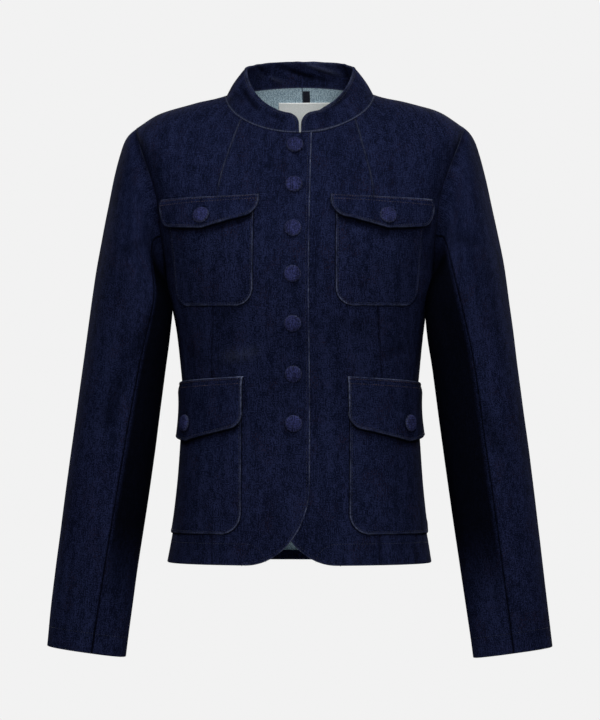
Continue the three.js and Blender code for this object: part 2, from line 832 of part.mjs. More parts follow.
// Sleeves
["left", "right"].forEach((side) => {
  addCloth(side + "_top_sleeve", sleeveGrid(ELBOW_SEAM - 360, FOREARM_SEAM, side));
  addCloth(side + "_under_sleeve", sleeveGrid(FOREARM_SEAM, ELBOW_SEAM, side));
});

// Pockets and flaps
addPair("upper_pocket", () => pocketGrid(UPPER_POCKET, 8, 5));
addPair("lower_pocket", () => pocketGrid(LOWER_POCKET, 11, 6));
addPair("upper_pocket_flap", () => flapGrid(UPPER_FLAP, 8));
addPair("lower_pocket_flap", () => flapGrid(LOWER_FLAP, 10));

// Buttons
BUTTON_HEIGHTS.forEach((height, i) => {
  const { angle, level } = placeAt(BUTTON_LINE_X, height, FRONT);
  addButton("front_button_" + (i + 1), bodySpot(angle, level), true);
});
addButton("left_upper_flap_button", flapSeat(UPPER_FLAP), true);
addButton("right_upper_flap_button", flapSeat(UPPER_FLAP), false);
addButton("left_lower_flap_button", flapSeat(LOWER_FLAP), true);
addButton("right_lower_flap_button", flapSeat(LOWER_FLAP), false);

// Inside the back
const TAPE_OUT = CLOTH + SEAM_GAP + 0.1;
const LABEL_OUT = TAPE_OUT + TRIM_CLOTH + 1;
addCloth("back_seam_tape", tapeGrid(backGrid(), { ...TAPE, out: TAPE_OUT }), TAPE_COTTON);
addCloth(
  "neck_label",
  insideBackGrid({
    from: LABEL.middle - LABEL.halfWidth,
    to: LABEL.middle + LABEL.halfWidth,
    bottom: LABEL.bottom,
    top: LABEL.top,
    out: LABEL_OUT,
    rows: 4,
    columns: 8,
  }),
  LABEL_COTTON,
);

export default blazer;
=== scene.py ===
"""A short fitted denim blazer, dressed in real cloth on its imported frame.

Shapes are worked out in millimetres, with heights counted from the hem and the front facing -Y,
and are turned into metres from the neck point when a mesh is made.
"""

import itertools
import logging
import math
from collections.abc import Callable
from dataclasses import dataclass
from enum import Enum

import bmesh
import bpy
import numpy as np
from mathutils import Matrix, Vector


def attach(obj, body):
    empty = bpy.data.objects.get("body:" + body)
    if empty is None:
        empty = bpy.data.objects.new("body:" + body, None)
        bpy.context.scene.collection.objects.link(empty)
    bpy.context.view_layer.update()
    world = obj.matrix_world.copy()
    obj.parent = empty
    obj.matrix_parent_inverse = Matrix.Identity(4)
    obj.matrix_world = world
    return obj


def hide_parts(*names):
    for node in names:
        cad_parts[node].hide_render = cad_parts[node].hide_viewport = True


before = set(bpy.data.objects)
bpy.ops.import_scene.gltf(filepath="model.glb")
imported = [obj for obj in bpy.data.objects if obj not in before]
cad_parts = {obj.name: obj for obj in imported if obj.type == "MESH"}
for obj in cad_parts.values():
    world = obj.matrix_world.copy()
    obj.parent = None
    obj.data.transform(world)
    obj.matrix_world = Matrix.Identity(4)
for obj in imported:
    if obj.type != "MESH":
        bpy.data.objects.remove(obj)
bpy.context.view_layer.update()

LOG = logging.getLogger("blazer")
Array = np.ndarray

METRE = 0.001
NECK_POINT_HEIGHT = 563.5
CLOTH = 1.6
HEM_CLOTH = 3.0
COLLAR_CLOTH = 3.0
FLAP_CLOTH = 2.4
TRIM_CLOTH = 1.0
SEAM_LAP = 0.03
HEM_FOLD = 12.0
HEM_FOLD_END = 14.5
CUFF_FOLD = 25.0
PALE_EDGE = 0.9
NECK_LEVEL = 640.0
UNDERARM_LEVEL = 352.0
SHOULDER_TIP_LEVEL = 530.0
ARMHOLE_MIDDLE = (SHOULDER_TIP_LEVEL + UNDERARM_LEVEL) / 2
ARMHOLE_HALF = (SHOULDER_TIP_LEVEL - UNDERARM_LEVEL) / 2
DEGREE = math.pi / 180
EDGE_STEPS = np.array([0, 0.35, 0.8, 1.4, 2.1, 3.0, 3.7, 4.4, 5.3, 6.6])
STITCH_INSET = 3.9
ROOT = "root"
FLIP = np.array([-1, 1, 1])
HALVINGS = 28
CELL_MIXERS = (73856093, 19349663, 83492791)
SEED_MIXER = 26544357
LAST_MIXER = 1274126177


def smooth(low: float, high: float, value: Array) -> Array:
    """Rise smoothly from 0 to 1 as a value goes from low to high, which may be under low."""
    share = np.clip((np.asarray(value, float) - low) / (high - low), 0, 1)
    return share * share * (3 - 2 * share)


def bell(off: Array) -> Array:
    """Fall from 1 in the middle to nothing on both sides."""
    return np.exp(-(off**2))


def blend(first: Array, second: Array, share: Array) -> Array:
    """Give what lies a share of the way from first to second."""
    return first + (second - first) * share


def unit(vectors: Array) -> Array:
    """Give vectors of length 1."""
    return vectors / np.maximum(np.linalg.norm(vectors, axis=-1, keepdims=True), 1e-12)


def solve(rising: Callable[[Array], Array], target: Array, low: Array, high: Array) -> Array:
    """Find where a rising function reaches a target, for a whole array at once.

    Args:
        rising: function that rises between low and high.
        target: values to reach.
        low: lowest places.
        high: highest places.

    Returns:
        The places where the targets are reached.
    """
    target = np.asarray(target, float)
    low = np.zeros(target.shape) + low
    high = np.zeros(target.shape) + high
    for _ in range(HALVINGS):
        middle = (low + high) / 2
        below = rising(middle) < target
        low = np.where(below, middle, low)
        high = np.where(below, high, middle)
    return (low + high) / 2


class Track:
    """A smooth curve through values at uneven knots, with one or more columns."""

    def __init__(self, knots: Array, values: Array) -> None:
        """Prepare the curve.

        Args:
            knots: rising places.
            values: one row of values for each knot.
        """
        self.knots = np.asarray(knots, float)
        self.values = np.asarray(values, float)
        last = len(self.knots) - 1
        low = np.maximum(np.arange(last + 1) - 1, 0)
        high = np.minimum(np.arange(last + 1) + 1, last)
        run = self.knots[high] - self.knots[low]
        rise = self.values[high] - self.values[low]
        self.slopes = rise / run.reshape(-1, *([1] * (self.values.ndim - 1)))

    def _weights(self, where: Array) -> tuple[Array, list[Array]]:
        """Find the knot under each place and the four weights of the curve there.

        Args:
            where: places along the knots.

        Returns:
            The index of the knot under each place, and the weights.
        """
        i = np.searchsorted(self.knots, where, side="right") - 1
        i = np.clip(i, 0, len(self.knots) - 2)
        span = self.knots[i + 1] - self.knots[i]
        t = (where - self.knots[i]) / span
        weights = [
            2 * t**3 - 3 * t**2 + 1,
            (t**3 - 2 * t**2 + t) * span,
            3 * t**2 - 2 * t**3,
            (t**3 - t**2) * span,
        ]
        return i, weights

    def at(self, where: Array) -> Array:
        """Read the curve.

        Args:
            where: places along the knots.

        Returns:
            Values there, with the columns last.
        """
        i, weights = self._weights(np.asarray(where, float))
        if self.values.ndim > 1:
            weights = [weight[..., None] for weight in weights]
        start = weights[0] * self.values[i] + weights[1] * self.slopes[i]
        return start + weights[2] * self.values[i + 1] + weights[3] * self.slopes[i + 1]

    def at_each(self, where: Array) -> Array:
        """Read a curve whose knots hold a point for each place.

        Args:
            where: one place for each of the points.

        Returns:
            A point for each place.
        """
        i, weights = self._weights(np.asarray(where, float))

        def take(rows: Array, index: Array) -> Array:
            """Pick one knot's row for each place."""
            return np.take_along_axis(rows, index[None, ..., None], axis=0)[0]

        a, b, c, d = (weight[..., None] for weight in weights)
        start = a * take(self.values, i) + b * take(self.slopes, i)
        return start + c * take(self.values, i + 1) + d * take(self.slopes, i + 1)


def lattice_noise(places: Array, seed: int) -> Array:
    """Give smooth noise from -1 to 1.

    Args:
        places: points counted in cells, with three columns.
        seed: picks the pattern.

    Returns:
        The noise at each place.
    """
    cell = np.floor(places).astype(np.int64)
    part = places - cell
    part = part * part * (3 - 2 * part)
    total = np.zeros(places.shape[:-1])
    for corner in itertools.product((0, 1), repeat=3):
        key = cell + np.array(corner)
        mixed = np.bitwise_xor.reduce(key * np.array(CELL_MIXERS), axis=-1) ^ (seed * SEED_MIXER)
        mixed = (mixed ^ (mixed >> 13)) * LAST_MIXER
        value = ((mixed ^ (mixed >> 16)) & 0xFFFF) / 32767.5 - 1
        weight = np.prod(np.where(corner, part, 1 - part), axis=-1)
        total += weight * value
    return total


def line_noise(along: Array, cell: float, seed: int) -> Array:
    """Give smooth noise from -1 to 1 along a line of distances, with cells of one length."""
    places = np.stack([along / cell, np.zeros_like(along), np.zeros_like(along)], axis=-1)
    return lattice_noise(places, seed)


def summed(steps: Array, axis: int = 0) -> Array:
    """Add up steps from 0 along an axis."""
    start = np.zeros_like(np.take(steps, [0], axis=axis))
    return np.concatenate([start, np.cumsum(steps, axis=axis)], axis=axis)


def arcs_along(points: Array, axis: int) -> Array:
    """Give how far along its line each point of a grid lies."""
    return summed(np.linalg.norm(np.diff(points, axis=axis), axis=-1), axis)


def read_table(table: Array, row: Array, column: Array) -> Array:
    """Read between the entries of a table.

    Args:
        table: two-way table.
        row: places counted in rows.
        column: places counted in columns.

    Returns:
        The values there.
    """
    row = np.clip(row, 0, len(table) - 1.001)
    column = np.clip(column, 0, table.shape[1] - 1.001)
    i = row.astype(int)
    j = column.astype(int)
    lower = blend(table[i, j], table[i, j + 1], column - j)
    upper = blend(table[i + 1, j], table[i + 1, j + 1], column - j)
    return blend(lower, upper, row - i)


def nearest_on_path(points: Array, path: Array) -> tuple[Array, Array]:
    """Measure points against a path.

    Args:
        points: any array of points.
        path: points of the path in order.

    Returns:
        Each point's distance from the path, and how far along the path it lies.
    """
    flat = points.reshape(-1, 3)
    arcs = arcs_along(path, 0)
    squares = (flat**2).sum(1)[:, None] + (path**2).sum(1)[None] - 2 * flat @ path.T
    nearest = squares.argmin(axis=1)
    best = np.full(len(flat), np.inf)
    along = arcs[nearest]
    for step in (-1, 0):
        i = np.clip(nearest + step, 0, len(path) - 2)
        run = path[i + 1] - path[i]
        share = ((flat - path[i]) * run).sum(1) / np.maximum((run**2).sum(1), 1e-12)
        share = np.clip(share, 0, 1)
        distance = np.linalg.norm(flat - path[i] - run * share[:, None], axis=1)
        closer = distance < best
        best = np.where(closer, distance, best)
        along = np.where(closer, blend(arcs[i], arcs[i + 1], share), along)
    return best.reshape(points.shape[:-1]), along.reshape(points.shape[:-1])


def contour_paths(points: Array, level: Array, value: float) -> list[Array]:
    """Follow the lines on a grid where a field has one value.

    Args:
        points: grid of points.
        level: the field at each of them.
        value: the value to follow.

    Returns:
        One array of points for each line.
    """
    above = level > value
    full = above[:-1, :-1] & above[1:, :-1] & above[:-1, 1:] & above[1:, 1:]
    empty = ~(above[:-1, :-1] | above[1:, :-1] | above[:-1, 1:] | above[1:, 1:])
    links: dict[tuple, list[tuple]] = {}
    for r, c in np.argwhere(~full & ~empty):
        sides = [((r, c), (r, c + 1)), ((r, c), (r + 1, c))]
        sides += [((r + 1, c), (r + 1, c + 1)), ((r, c + 1), (r + 1, c + 1))]
        crossed = [side for side in sides if above[side[0]] != above[side[1]]]
        if len(crossed) == 2:
            links.setdefault(crossed[0], []).append(crossed[1])
            links.setdefault(crossed[1], []).append(crossed[0])

    def crossing(first: tuple, second: tuple) -> Array:
        """Give the point between two grid points where the field has the value."""
        share = (value - level[first]) / (level[second] - level[first])
        return blend(points[first], points[second], share)

    paths = []
    left = dict.fromkeys(sorted(links, key=lambda side: len(links[side])))
    while left:
        here = next(iter(left))
        chain = []
        while here is not None:
            left.pop(here, None)
            chain.append(crossing(*here))
            here = next((other for other in links[here] if other in left), None)
        paths.append(np.array(chain))
    return [path for path in paths if len(path) > 3]


def rounding(reach: Array) -> Array:
    """Give how far a round corner has turned in, at a share of the way to its end."""
    return 1 - np.sqrt(1 - np.clip(reach, 0, 1) ** 2)


def bend_shares(count: int) -> Array:
    """Give places along a round corner, close together where it turns in the most."""
    return 1 - np.cos(np.linspace(0, 90, count) * DEGREE)


def edge_spaced(lengths: Array, spacing: float) -> Array:
    """Space places along rows, close together at both ends and even between.

    Args:
        lengths: length of each row.
        spacing: widest step.

    Returns:
        Distances from the start of each row, one row each.
    """
    lengths = np.atleast_1d(np.asarray(lengths, float))
    squeeze = np.minimum(1, lengths / (3 * EDGE_STEPS[-1]))[:, None]
    start = EDGE_STEPS * squeeze
    end = lengths[:, None] - start[:, ::-1]
    count = max(2, math.ceil((lengths.max() - 2 * EDGE_STEPS[-1]) / spacing))
    shares = np.arange(1, count) / count
    middle = blend(start[:, -1:], end[:, :1], shares)
    return np.concatenate([start, middle, end], axis=1)


def shares_by_length(row: Callable[[Array], Array], spacing: float) -> Array:
    """Space the columns of a panel by real length.

    Args:
        row: gives the points of every row for an array of shares from 0 to 1.
        spacing: widest step.

    Returns:
        A share for each column of each row.
    """
    even = np.linspace(0, 1, 65)
    points = row(even)
    arcs = arcs_along(points, 1)
    wanted = edge_spaced(arcs[:, -1], spacing)
    return np.array([np.interp(want, arc, even) for want, arc in zip(wanted, arcs)])


def oval_point(ring: Array, angle: Array) -> Array:
    """Give points of an oval ring of the body or the collar.

    Args:
        ring: wide, front, back, sideZ, frontZ, backZ, round and bend, in the last axis.
        angle: 0 at the wearer's left side, -90 degrees at the front.

    Returns:
        The points.
    """
    wide, front, back, side_z, front_z, back_z, power, bend = np.moveaxis(ring, -1, 0)
    c = np.cos(angle)
    s = np.sin(angle)
    depth = np.where(s < 0, front, back)
    end_z = np.where(s < 0, front_z, back_z)
    reach = (np.abs(c / wide) ** power + np.abs(s / depth) ** power) ** (-1 / power)
    share = np.minimum(1, np.abs(reach * s) / depth)
    z = blend(side_z, end_z, share**bend)
    return np.stack(np.broadcast_arrays(reach * c, reach * s, z), axis=-1)


def surface_normal(
    surface: Callable[[Array, Array], Array],
    u: Array,
    v: Array,
    steps: tuple[float, float],
    high: float = math.inf,
) -> Array:
    """Give the outward normal of a surface.

    Args:
        surface: gives a point for u and v.
        u: first place.
        v: second place.
        steps: how far apart the points are read.
        high: highest v that the surface has.

    Returns:
        Normals of length 1.
    """
    step_u, step_v = steps
    upper = np.minimum(v + step_v, high)
    across = surface(u + step_u, v) - surface(u - step_u, v)
    along = surface(u, upper) - surface(u, upper - 2 * step_v)
    return unit(np.cross(across, along))


@dataclass(frozen=True)
class BodyForm:
    """The outside of the body of the blazer, from hem to neck seam."""

    rings: tuple = (
        (0, 158.5, 108, 115, 5, 4, 4, 2.3, 2),
        (60, 149.5, 106, 110, 62, 62, 62, 2.3, 2),
        (120, 143, 101, 100, 120, 120, 120, 2.25, 2),
        (185, 140, 98, 93, 185, 185, 185, 2.25, 2),
        (240, 143.8, 105, 94, 240, 240, 240, 2.25, 2),
        (300, 150.8, 118, 102, 300, 300, 300, 2.35, 2),
        (352, 160, 121, 109, 352, 350, 352, 2.5, 2),
        (400, 167.5, 116, 111, 400, 392, 398, 2.8, 2),
        (450, 175, 106, 108, 448, 424, 444, 2.9, 2),
        (495, 188, 96, 100, 490, 450, 480, 2.7, 2),
        (527, 196.8, 88.6, 90.8, 524.6, 468.2, 505.5, 2.52, 2),
        (530, 195, 88, 90, 526.5, 470, 508, 2.5, 2),
        (565, 167, 79, 79, 544, 487, 530, 2.3, 1.9),
        (600, 129, 69.5, 65, 555, 503, 554, 2.15, 1.6),
        (640, 88.7, 60, 48, 563.5, 518.4, 577.5, 2, 1.15),
    )
    princess: tuple = (
        (0, 100),
        (150, 100),
        (220, 101.5),
        (300, 98),
        (380, 96.5),
        (450, 92),
        (510, 76),
        (540, 66),
    )
    armhole_front: float = 17.8 * DEGREE
    armhole_back: float = 16.5 * DEGREE
    side_seam: float = 2 * DEGREE
    shoulder_seam: float = 4 * DEGREE
    side: float = 3 * DEGREE
    calm_oval: float = 1.5
    calm_neck: float = 40.0
    map_reach: int = 120
    map_turn: int = 2
    map_rise: int = 4

    def track(self) -> Track:
        """Give the rings as curves over the level."""
        table = np.array(self.rings)
        return Track(table[:, 0], table[:, 1:])

    def point(self, angle: Array, level: Array) -> Array:
        """Give the surface point at an angle and a level."""
        return oval_point(self.track().at(level), angle)

    def normal(self, angle: Array, level: Array) -> Array:
        """Give the outward normal at an angle and a level."""
        return surface_normal(self.point, angle, level, (0.5 * DEGREE, 1.0), NECK_LEVEL)

    def level_at(self, angle: Array, height: Array) -> Array:
        """Give the level where the surface has a height, on the line at one angle."""
        angle, height = np.broadcast_arrays(angle, height)
        return solve(lambda level: self.point(angle, level)[..., 2], height, 0, NECK_LEVEL)

    def angle_on_level(self, x: Array, level: Array) -> Array:
        """Give the angle on the front of a level where the surface has a distance x."""
        x, level = np.broadcast_arrays(np.asarray(x, float), level)
        return solve(lambda a: self.point(a, level)[..., 0], x, -150 * DEGREE, 0)

    def angle_at_height(self, x: Array, height: Array, way: int) -> Array:
        """Give the angle where the surface has a distance x at a height.

        Args:
            x: distances from the centre line.
            height: heights over the hem.
            way: 1 for the front, -1 for the back.

        Returns:
            The angles.
        """

        def across(angle: Array) -> Array:
            """Give the distance from the centre line, turned to rise with the angle."""
            return way * self.point(angle, self.level_at(angle, height))[..., 0]

        ends = np.array([-150, 0]) if way == 1 else np.array([0, 150])
        return solve(across, way * x, *(ends * DEGREE))

    def princess_angle(self, level: Array) -> Array:
        """Give the angle of the princess seam on a level.

        Args:
            level: levels on the body.

        Returns:
            The angles.
        """
        level = np.asarray(level, float)
        table = np.array(self.princess)
        across = Track(table[:, 0], table[:, 1])

        def off(angle: Array) -> Array:
            """Give how far a point lies outside the seam."""
            point = self.point(angle, level)
            return point[..., 0] - across.at(np.minimum(point[..., 2], table[-1, 0]))

        return solve(off, np.zeros(level.shape), -90 * DEGREE, -5 * DEGREE)

    def armhole_place(self, turn: Array) -> tuple[Array, Array]:
        """Give the place on the armhole for a turn.

        Args:
            turn: turns in degrees, 0 at the shoulder seam.

        Returns:
            The angle and the level.
        """
        t = np.asarray(turn, float) * DEGREE
        seam = blend(self.side_seam, self.shoulder_seam, (1 + np.cos(t)) / 2)
        reach = np.where(np.sin(t) > 0, -self.armhole_front, self.armhole_back)
        return seam + reach * np.abs(np.sin(t)), ARMHOLE_MIDDLE + ARMHOLE_HALF * np.cos(t)

    def cloth_place(self, angle: Array, level: Array, middle: int) -> Array:
        """Give the place on the cloth, whose grain hangs straight down.

        Args:
            angle: angles on the body, up to the centre back.
            level: levels on it.
            middle: angle in degrees of the line that the cloth is measured from.

        Returns:
            The way round from that line, and the way up.
        """
        degrees = np.arange(-self.map_reach, self.map_reach + self.map_turn, self.map_turn)
        levels = np.arange(0, NECK_LEVEL + self.map_rise, self.map_rise)
        points = self.point(degrees * DEGREE, levels[:, None])
        across = arcs_along(points, 1)
        along = summed(np.hypot(*np.moveaxis(np.diff(points, axis=0), -1, 0)[1:]))
        zero = (middle + self.map_reach) // self.map_turn
        tables = (across - across[:, zero : zero + 1], along)
        row = level / self.map_rise
        column = (angle / DEGREE + self.map_reach) / self.map_turn
        return np.stack([read_table(table, row, column) for table in tables], axis=-1)

    def calm(self, angle: Array, level: Array) -> Array:
        """Give how freely the cloth may move.

        Args:
            angle: angles on the body.
            level: levels on it.

        Returns:
            0 at the armhole and the neck seam, and 1 away from them.
        """
        reach = np.where(angle < self.side, self.armhole_front, self.armhole_back)
        oval = np.hypot((level - ARMHOLE_MIDDLE) / ARMHOLE_HALF, (angle - self.side) / reach)
        below_neck = smooth(NECK_LEVEL, NECK_LEVEL - self.calm_neck, level)
        return smooth(1.0, self.calm_oval, oval) * below_neck


@dataclass(frozen=True)
class SleeveForm:
    """The outside of the wearer's left sleeve, from the armhole down to the cuff."""

    body: BodyForm
    side: str
    rings: tuple = (
        (14, 204.5, 2, 516.5, 161.6, -1, 351.2, 54, 2.1),
        (30, 212.5, 2, 502, 161.9, -4, 347, 55.5, 2.15),
        (60, 221.5, 3, 472, 160.6, -12, 340, 57, 2.2),
        (98, 230, 4, 433, 157.2, -23, 330, 58, 2.25),
        (138, 238, 4, 395, 153.6, -31, 316, 58, 2.3),
        (176, 245, 4, 358, 152.2, -33, 299, 57.5, 2.3),
        (226, 252.5, 2, 307, 154.4, -29, 272, 56, 2.3),
        (288, 260.5, -2, 247, 160, -22, 234, 52, 2.25),
        (386, 273.2, -8, 150, 172.8, -20, 137, 47.5, 2.25),
        (488, 286, -15, 49, 187.3, -24, 36, 43, 2.25),
        (595, 298.5, -22, -57, 202.8, -28, -70, 38, 2.2),
        (634, 302.5, -24, -95, 208, -29, -108, 36, 2.2),
    )
    seams: tuple = (
        (0, 120, 120, 252),
        (60, 113, 123, 254),
        (140, 101, 127, 257),
        (260, 90, 117, 262),
        (390, 88, 109, 266),
        (634, 87, 102, 268),
    )
    length: float = 634.0
    forearm_seam: float = 120.0
    elbow_seam: float = 252.0
    lean_reach: float = 7.0

    def ring_point(self, ring: Array, turn: Array) -> Array:
        """Give points of a ring at turns in radians.

        Args:
            ring: outside and inside points, depth and power, in the last axis.
            turn: turns in radians.

        Returns:
            The points.
        """
        outside = ring[..., 0:3]
        inside = ring[..., 3:6]
        deep = ring[..., 6]
        power = ring[..., 7]
        c = np.cos(turn)
        s = np.sin(turn)
        reach = (np.abs(c) ** power + np.abs(s) ** power) ** (-1 / power)
        point = (outside + inside) / 2 + (outside - inside) / 2 * (reach * c)[..., None]
        point = np.array(np.broadcast_to(point, (*np.shape(reach), 3)))
        point[..., 1] -= deep * reach * s
        return point

    def turn_along(self, turn: Array, along: Array) -> Array:
        """Give a turn in radians that has moved with the two seams it lies between.

        Args:
            turn: turns on the armhole, in degrees.
            along: distances along the sleeve.

        Returns:
            The moved turns.
        """
        table = np.array(self.seams)
        seams = Track(table[:, 0], table[:, 1:]).at(np.clip(along, 0, self.length))
        forearm = seams[..., 0] if self.side == "left" else seams[..., 1]
        elbow = seams[..., 2]
        back = self.elbow_seam - 360
        under = (turn - self.forearm_seam) / (self.elbow_seam - self.forearm_seam)
        over = (turn - back) / (self.forearm_seam - back)
        lower = blend(forearm, elbow, under)
        upper = blend(elbow - 360, forearm, over)
        return np.where(turn > self.forearm_seam, lower, upper) * DEGREE

    def point(self, arm_turn: Array, along: Array) -> Array:
        """Give the surface point at a turn on the armhole and a distance along the sleeve.

        Args:
            arm_turn: turns on the armhole, in degrees.
            along: distances along the sleeve.

        Returns:
            The points.
        """
        arm_turn, along = np.broadcast_arrays(np.asarray(arm_turn, float), along)
        table = np.array(self.rings)
        turn = self.turn_along(arm_turn, along)
        lower = self.ring_point(Track(table[:, 0], table[:, 1:]).at(along), turn)
        cap = [self.body.point(*self.body.armhole_place(arm_turn))]
        cap += [self.ring_point(row[1:] + np.zeros((*turn.shape, 8)), turn) for row in table[:3]]
        knots = np.array([0, *table[:3, 0]])
        upper = Track(knots, np.array(cap)).at_each(np.minimum(along, knots[2]))
        return np.where((along >= knots[2])[..., None], lower, upper)

    def normal(self, turn: Array, along: Array) -> Array:
        """Give the outward normal, which leans on the body's where the sleeve meets it.

        Args:
            turn: turns on the armhole, in degrees.
            along: distances along the sleeve.

        Returns:
            Normals of length 1.
        """
        turn, along = np.broadcast_arrays(np.asarray(turn, float), along)
        own = surface_normal(self.point, turn, np.maximum(along, 0.6), (2.0, 0.5), self.length)
        body = self.body.normal(*self.body.armhole_place(turn))
        lean = blend(0.5, 1, smooth(0.2, 0.75, (own * body).sum(-1)))
        lean = (lean * np.clip(1 - along / self.lean_reach, 0, 1))[..., None]
        return unit(own * (1 - lean) + body * lean)


@dataclass(frozen=True)
class CollarForm:
    """The outside of the stand collar."""

    body: BodyForm
    edge: tuple = (64.5, 48, 38, 599, 541.5, 608, 2, 1.15)
    bulge: float = 1.6
    end_radius: float = 13.0
    open_x: float = 3.4
    open_half: float = 1.9
    closed_half: float = 0.5
    close_reach: float = 10.0
    neck_half_width: float = 88.0
    lean_reach: float = 6.0

    def point(self, angle: Array, share: Array) -> Array:
        """Give the point at an angle and a share of the height of the collar.

        Args:
            angle: angles round the neck.
            share: shares of the height.

        Returns:
            The points.
        """
        angle, share = np.broadcast_arrays(angle, share)
        base = self.body.track().at(np.full(angle.shape, NECK_LEVEL))
        ring = blend(base, np.array(self.edge), share[..., None])
        ring[..., :3] += (self.bulge * np.sin(math.pi * share))[..., None]
        return oval_point(ring, angle)

    def normal(self, angle: Array, share: Array) -> Array:
        """Give the outward normal at an angle and a share of the height."""
        return surface_normal(self.point, angle, share, (0.5 * DEGREE, 0.02), 1.0)


class Edge(Enum):
    """How an edge is made: share of the wall that rolls away outside and inside, and how wide."""

    SEAM = (0.5, 0.0, 2.3)
    FOLD = (0.45, 0.45, 1.35)
    TURNED = (0.27, 0.0, 1.6)
    FLAT = (0.06, 0.0, 1.2)

    def drop(self, distance: Array, thick: Array, inner: bool) -> Array:
        """Give how far a face drops near the edge.

        Args:
            distance: distance from the edge.
            thick: thickness of the wall.
            inner: whether it is the inner face.

        Returns:
            The drop towards the middle of the wall.
        """
        outside, inside, radius = self.value
        depth = (inside if inner else outside) * thick
        return depth * rounding(1 - distance / radius)


class Side(Enum):
    """One side of a panel's grid."""

    HEM = "first row"
    TOP = "last row"
    START = "first column"
    END = "last column"

    def path(self, grid: Array) -> Array:
        """Give the points of this side of a grid whose rows run from the hem up."""
        rows = {Side.HEM: grid[0], Side.TOP: grid[-1]}
        return {**rows, Side.START: grid[:, 0], Side.END: grid[:, -1]}[self]

    def mirrored(self) -> "Side":
        """Give the side that this one becomes on the other half of the blazer."""
        return {Side.START: Side.END, Side.END: Side.START}.get(self, self)


@dataclass(frozen=True)
class Border:
    """How one side of a panel is finished."""

    edge: Edge = Edge.SEAM
    worn: float = 0.0
    topstitched: bool = False
    pucker: float = 0.0
    wear_width: float = 1.0
    worn_above: float = -1000.0
    wear_in: float = 0.0
    # shade paints a dark line along the edge, standing in for the shade in a seam groove or the shadow at
    # a folded edge
    shade: float = 0.0
    shade_width: float = 1.5


# a sewn seam with a painted shade line along it
SEWN = Border(shade=0.8)
FOLDED = Border(Edge.FOLD, worn=0.75, topstitched=True, pucker=0.3)


class Face(Enum):
    """Which way a crease faces."""

    FRONT = -1
    BACK = 1


@dataclass(frozen=True)
class Crease:
    """A soft trough or ridge, seen from the front or the back, in millimetres."""

    face: Face
    start: tuple[float, float]
    end: tuple[float, float]
    width: float
    height: float
    bow: float = 0.0

    def rise(self, points: Array, normals: Array) -> Array:
        """Give how far the cloth rises at points with the given normals.

        Args:
            points: points on the cloth.
            normals: their normals.

        Returns:
            The rise.
        """
        start = np.array(self.start)
        run = np.array(self.end) - start
        length = np.hypot(*run)
        offset = points[..., [0, 2]] - start
        along = offset @ run / length**2
        across = (offset[..., 0] * run[1] - offset[..., 1] * run[0]) / length
        across = across - self.bow * np.sin(math.pi * np.clip(along, 0, 1))
        window = smooth(0, 0.35, along) * smooth(1, 0.65, along)
        facing = smooth(0.05, 0.5, normals[..., 1] * self.face.value)
        return self.height * bell(across / self.width) * window * facing


@dataclass(frozen=True)
class Swell:
    """A round fullness of the cloth, in millimetres."""

    centre: tuple[float, float, float]
    reach: tuple[float, float, float]
    height: float

    def rise(self, points: Array) -> Array:
        """Give how far the cloth rises at points."""
        offset = (points - np.array(self.centre)) / np.array(self.reach)
        return self.height * np.exp(-(offset**2).sum(-1))


@dataclass
class Relief:
    """The gentle unevenness of worn cloth: slow waves, and listed creases and swells."""

    creases: tuple[Crease, ...]
    swells: tuple[Swell, ...]
    slow: float = 0.9
    quick: float = 0.35

    def creased(self, points: Array, normals: Array) -> Array:
        """Give how far the creases alone raise the cloth."""
        return sum(crease.rise(points, normals) for crease in self.creases)

    def rise(self, points: Array, normals: Array) -> Array:
        """Give how far the cloth rises at points with the given normals.

        Args:
            points: points on the cloth.
            normals: their normals.

        Returns:
            The rise.
        """
        total = self.creased(points, normals)
        total = total + self.slow * lattice_noise(points / np.array([52, 80, 120]), 11)
        total += self.quick * lattice_noise(points / np.array([21, 30, 46]), 23)
        for swell in self.swells:
            total += swell.rise(points)
        return total


@dataclass
class Panel:
    """One cut piece of cloth as a grid of outer points, with rows from the hem up."""

    name: str
    points: Array
    normals: Array
    thick: Array
    calm: Array
    grain: Array
    borders: dict[Side, Border]
    seat: Array | None = None
    reverse: Array | None = None
    # painted shade: shares where the cloth is coloured darker to stand in for shade or shadow
    deep: Array | None = None
    lap: float = SEAM_LAP / 2

    def mirrored(self, name: str) -> "Panel":
        """Give the same panel for the other half of the blazer.

        Args:
            name: name of the solid that the new panel stands for.

        Returns:
            The other panel.
        """

        def turned(grid: Array | None) -> Array | None:
            """Reverse the columns of a grid of numbers."""
            return None if grid is None else grid[:, ::-1]

        return Panel(
            name,
            turned(self.points) * FLIP,
            turned(self.normals) * FLIP,
            turned(self.thick),
            turned(self.calm),
            turned(self.grain) * np.array([-1, 1]) + np.array([530, 0]),
            {side.mirrored(): border for side, border in self.borders.items()},
            None if self.seat is None else turned(self.seat) * FLIP,
            turned(self.reverse),
            turned(self.deep),
            self.lap,
        )

    def lapped(self) -> Array:
        """Move each border outwards, so that no light shows through a seam.

        Returns:
            The moved points.
        """
        points = self.points
        moved = points.copy()
        inward = {Side.HEM: 1, Side.TOP: -2, Side.START: 1, Side.END: -2}
        for side in Side:
            path = side.path(points)
            tangent = unit(np.gradient(path, axis=0))
            rows = side in (Side.HEM, Side.TOP)
            within = points[inward[side]] if rows else points[:, inward[side]]
            move = unit(np.cross(side.path(self.normals), tangent))
            sign = np.sign(((within - path) * move).sum(-1, keepdims=True))
            side.path(moved)[...] -= move * sign * self.lap
        return moved


